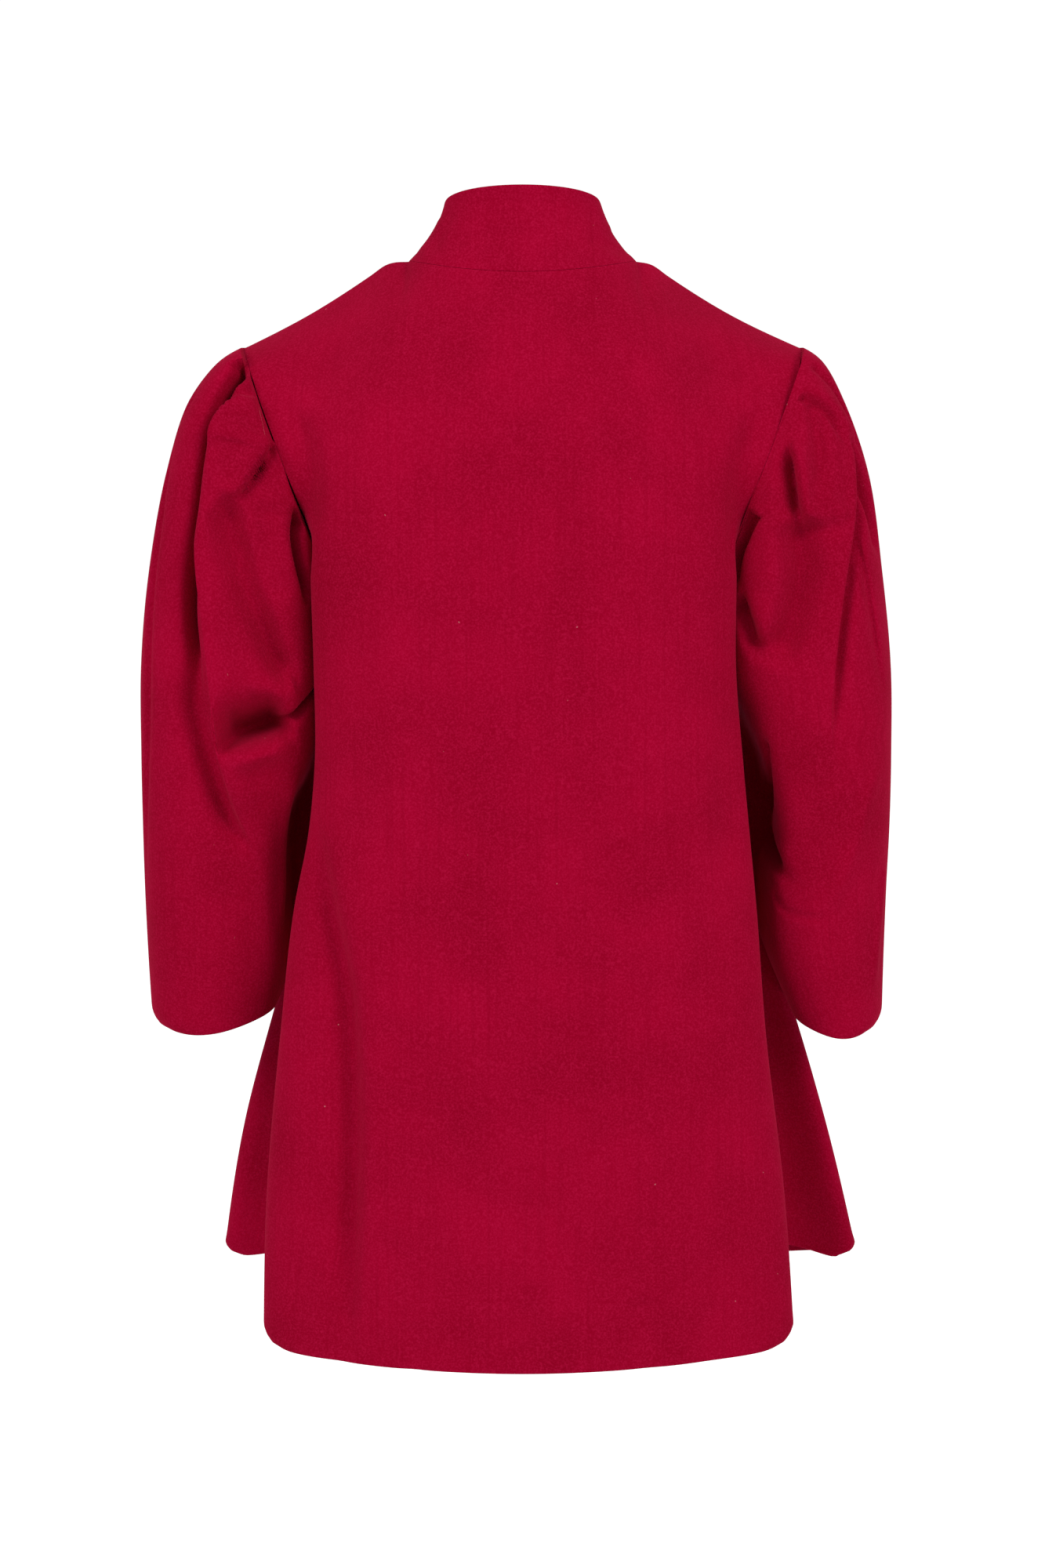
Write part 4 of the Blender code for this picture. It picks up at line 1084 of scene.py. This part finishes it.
# %% [markdown]
# ## Building the wool
# The nap is a bump map of three sizes: felted fibres under a millimetre, the softened twill
# below them, and slow dents a few centimetres wide. The sheen is a constant on the shader, so
# the pale edge comes from the fibres' angle to the eye and not from painted colour.
# %% The wool material
MOTTLE_SCALE = 14.0
NAP_SCALE = 620.0
STREAKS = (300.0, 7.0, 1.0)
TWILL_TURN = math.radians(32)
TWILL_LINES = 650.0
LINT_SCALE = 30.0
LINT_SIZE = 0.024


def make_wool():
    """Red fulled wool: mottled colour, warp streaks, nap and a few specks of lint."""
    material = bpy.data.materials.new("red_wool")
    material.use_nodes = True
    tree = material.node_tree
    shader = tree.nodes["Principled BSDF"]
    place = add(tree, "ShaderNodeTexCoord", (-1500, 300)).outputs["Object"]
    chart = add(tree, "ShaderNodeUVMap", (-1500, -200), uv_map="cloth").outputs["UV"]

    long_way = add(tree, "ShaderNodeMapping", (-1300, -200))
    long_way.inputs["Scale"].default_value = STREAKS
    tree.links.new(chart, long_way.inputs["Vector"])
    streak = noise(tree, long_way.outputs["Vector"], 1.0, 2.0, (-1100, -200))
    mottle = noise(tree, place, MOTTLE_SCALE, 3.0, (-1100, 300))
    nap = noise(tree, place, NAP_SCALE, 3.0, (-1100, 100))

    slow = spread(tree, mottle, 0.30, 0.70, 0.0, 1.0, (-900, 300))
    colour = blend_colour(tree, slow, WOOL_DEEP, WOOL, (-700, 300))
    fine = spread(tree, nap, 0.42, 0.78, 0.0, 0.55, (-900, 100))
    colour = blend_colour(tree, fine, colour, WOOL_PALE, (-500, 300))
    thin = spread(tree, streak, 0.50, 0.80, 0.0, 0.45, (-900, -200))
    colour = blend_colour(tree, thin, colour, WOOL_DEEP, (-300, 300))

    cells = add(tree, "ShaderNodeTexVoronoi", (-1100, -500))
    cells.inputs["Scale"].default_value = LINT_SCALE
    tree.links.new(chart, cells.inputs["Vector"])
    speck = spread(tree, cells.outputs["Distance"], 0.0, LINT_SIZE, 0.85, 0.0, (-900, -500))
    colour = blend_colour(tree, speck, colour, LINT, (-100, 300))
    tree.links.new(colour, shader.inputs["Base Color"])

    bands = add(tree, "ShaderNodeTexWave", (-1100, -800), bands_direction="X")
    turned = add(tree, "ShaderNodeMapping", (-1300, -800))
    turned.inputs["Rotation"].default_value = (0.0, 0.0, TWILL_TURN)
    tree.links.new(chart, turned.inputs["Vector"])
    tree.links.new(turned.outputs["Vector"], bands.inputs["Vector"])
    bands.inputs["Scale"].default_value = TWILL_LINES / 20
    bands.inputs["Distortion"].default_value = 6.0

    height = None
    for value, strength, reach, at in (
            (mottle, 0.25, 0.004, -400),
            (bands.outputs[1], 0.10, 0.0003, -600),
            (nap, 0.45, 0.0006, -800)):
        bump = add(tree, "ShaderNodeBump", (-300, at))
        bump.inputs["Strength"].default_value = strength
        bump.inputs["Distance"].default_value = reach
        tree.links.new(value, bump.inputs["Height"])
        if height is not None:
            tree.links.new(height, bump.inputs["Normal"])
        height = bump.outputs["Normal"]
    tree.links.new(height, shader.inputs["Normal"])

    shader.inputs["Roughness"].default_value = 0.95
    shader.inputs["Specular IOR Level"].default_value = 0.02
    shader.inputs["Sheen Weight"].default_value = 0.34
    shader.inputs["Sheen Roughness"].default_value = 0.45
    shader.inputs["Sheen Tint"].default_value = SHEEN_TINT
    return material


wool = make_wool()
for piece in pieces.values():
    piece.data.materials.append(wool)
print("wool nodes:", len(wool.node_tree.nodes))

# %% [markdown]
# ## A plain studio
# The floor lies where the wearer's feet would stand. A white room lights the cloth from all
# round, and a large soft lamp to each side gives the folds their shade: what is narrow and
# deep stays dark. Small hard lamps would draw black edges that soft light doesn't show.
# %% Floor, room and lamps
FLOOR_Z = -1.45
FLOOR_RADIUS = 14.0
ROOM_LIGHT = 0.44
ROOM_SEEN = 1.05
FLOOR_GLOW = 0.75
LAMP_PLACES = ((-2.5, -2.5, 1.7), (2.3, -2.6, 1.7))
LAMP_AIM = (0.0, 0.0, -0.45)
LAMP_SIZE = 1.6
LAMP_POWER = 52.0

bm = bmesh.new()
bmesh.ops.create_circle(bm, cap_ends=True, segments=96, radius=FLOOR_RADIUS)
bmesh.ops.translate(bm, verts=bm.verts[:], vec=(0.0, 0.0, FLOOR_Z))
bmesh.ops.recalc_face_normals(bm, faces=bm.faces[:])
floor_mesh = bpy.data.meshes.new("studio_floor")
bm.to_mesh(floor_mesh)
bm.free()
floor = into_scene("studio_floor", floor_mesh)
pale = bpy.data.materials.new("pale_floor")
pale.use_nodes = True
pale_shader = pale.node_tree.nodes["Principled BSDF"]
pale_shader.inputs["Base Color"].default_value = (0.9, 0.9, 0.9, 1.0)
pale_shader.inputs["Roughness"].default_value = 0.9
pale_shader.inputs["Emission Color"].default_value = (1.0, 1.0, 1.0, 1.0)
pale_tree = pale.node_tree
seen = add(pale_tree, "ShaderNodeLightPath", (-600, 300)).outputs["Is Camera Ray"]
glow = spread(pale_tree, seen, 0.0, 1.0, 0.0, FLOOR_GLOW, (-300, 300))
pale_tree.links.new(glow, pale_shader.inputs["Emission Strength"])
floor_mesh.materials.append(pale)

world = bpy.data.worlds.new("white_room")
world.use_nodes = True
tree = world.node_tree
room = tree.nodes["Background"]
room.inputs["Color"].default_value = (1.0, 1.0, 1.0, 1.0)
path = add(tree, "ShaderNodeLightPath", (-600, 300))
level = spread(tree, path.outputs["Is Camera Ray"], 0.0, 1.0, ROOM_LIGHT, ROOM_SEEN,
               (-300, 300))
tree.links.new(level, room.inputs["Strength"])
bpy.context.scene.world = world

for number, place in enumerate(LAMP_PLACES):
    lamp_data = bpy.data.lights.new(f"soft_lamp_{number}", "AREA")
    lamp_data.size = LAMP_SIZE
    lamp_data.energy = LAMP_POWER
    lamp = into_scene(f"soft_lamp_{number}", lamp_data)
    lamp.location = place
    lamp.rotation_euler = (Vector(place) - Vector(LAMP_AIM)).to_track_quat("Z", "Y").to_euler()
bpy.context.scene.view_settings.view_transform = "Standard"
print("room light:", ROOM_LIGHT, " lamp, W:", LAMP_POWER)
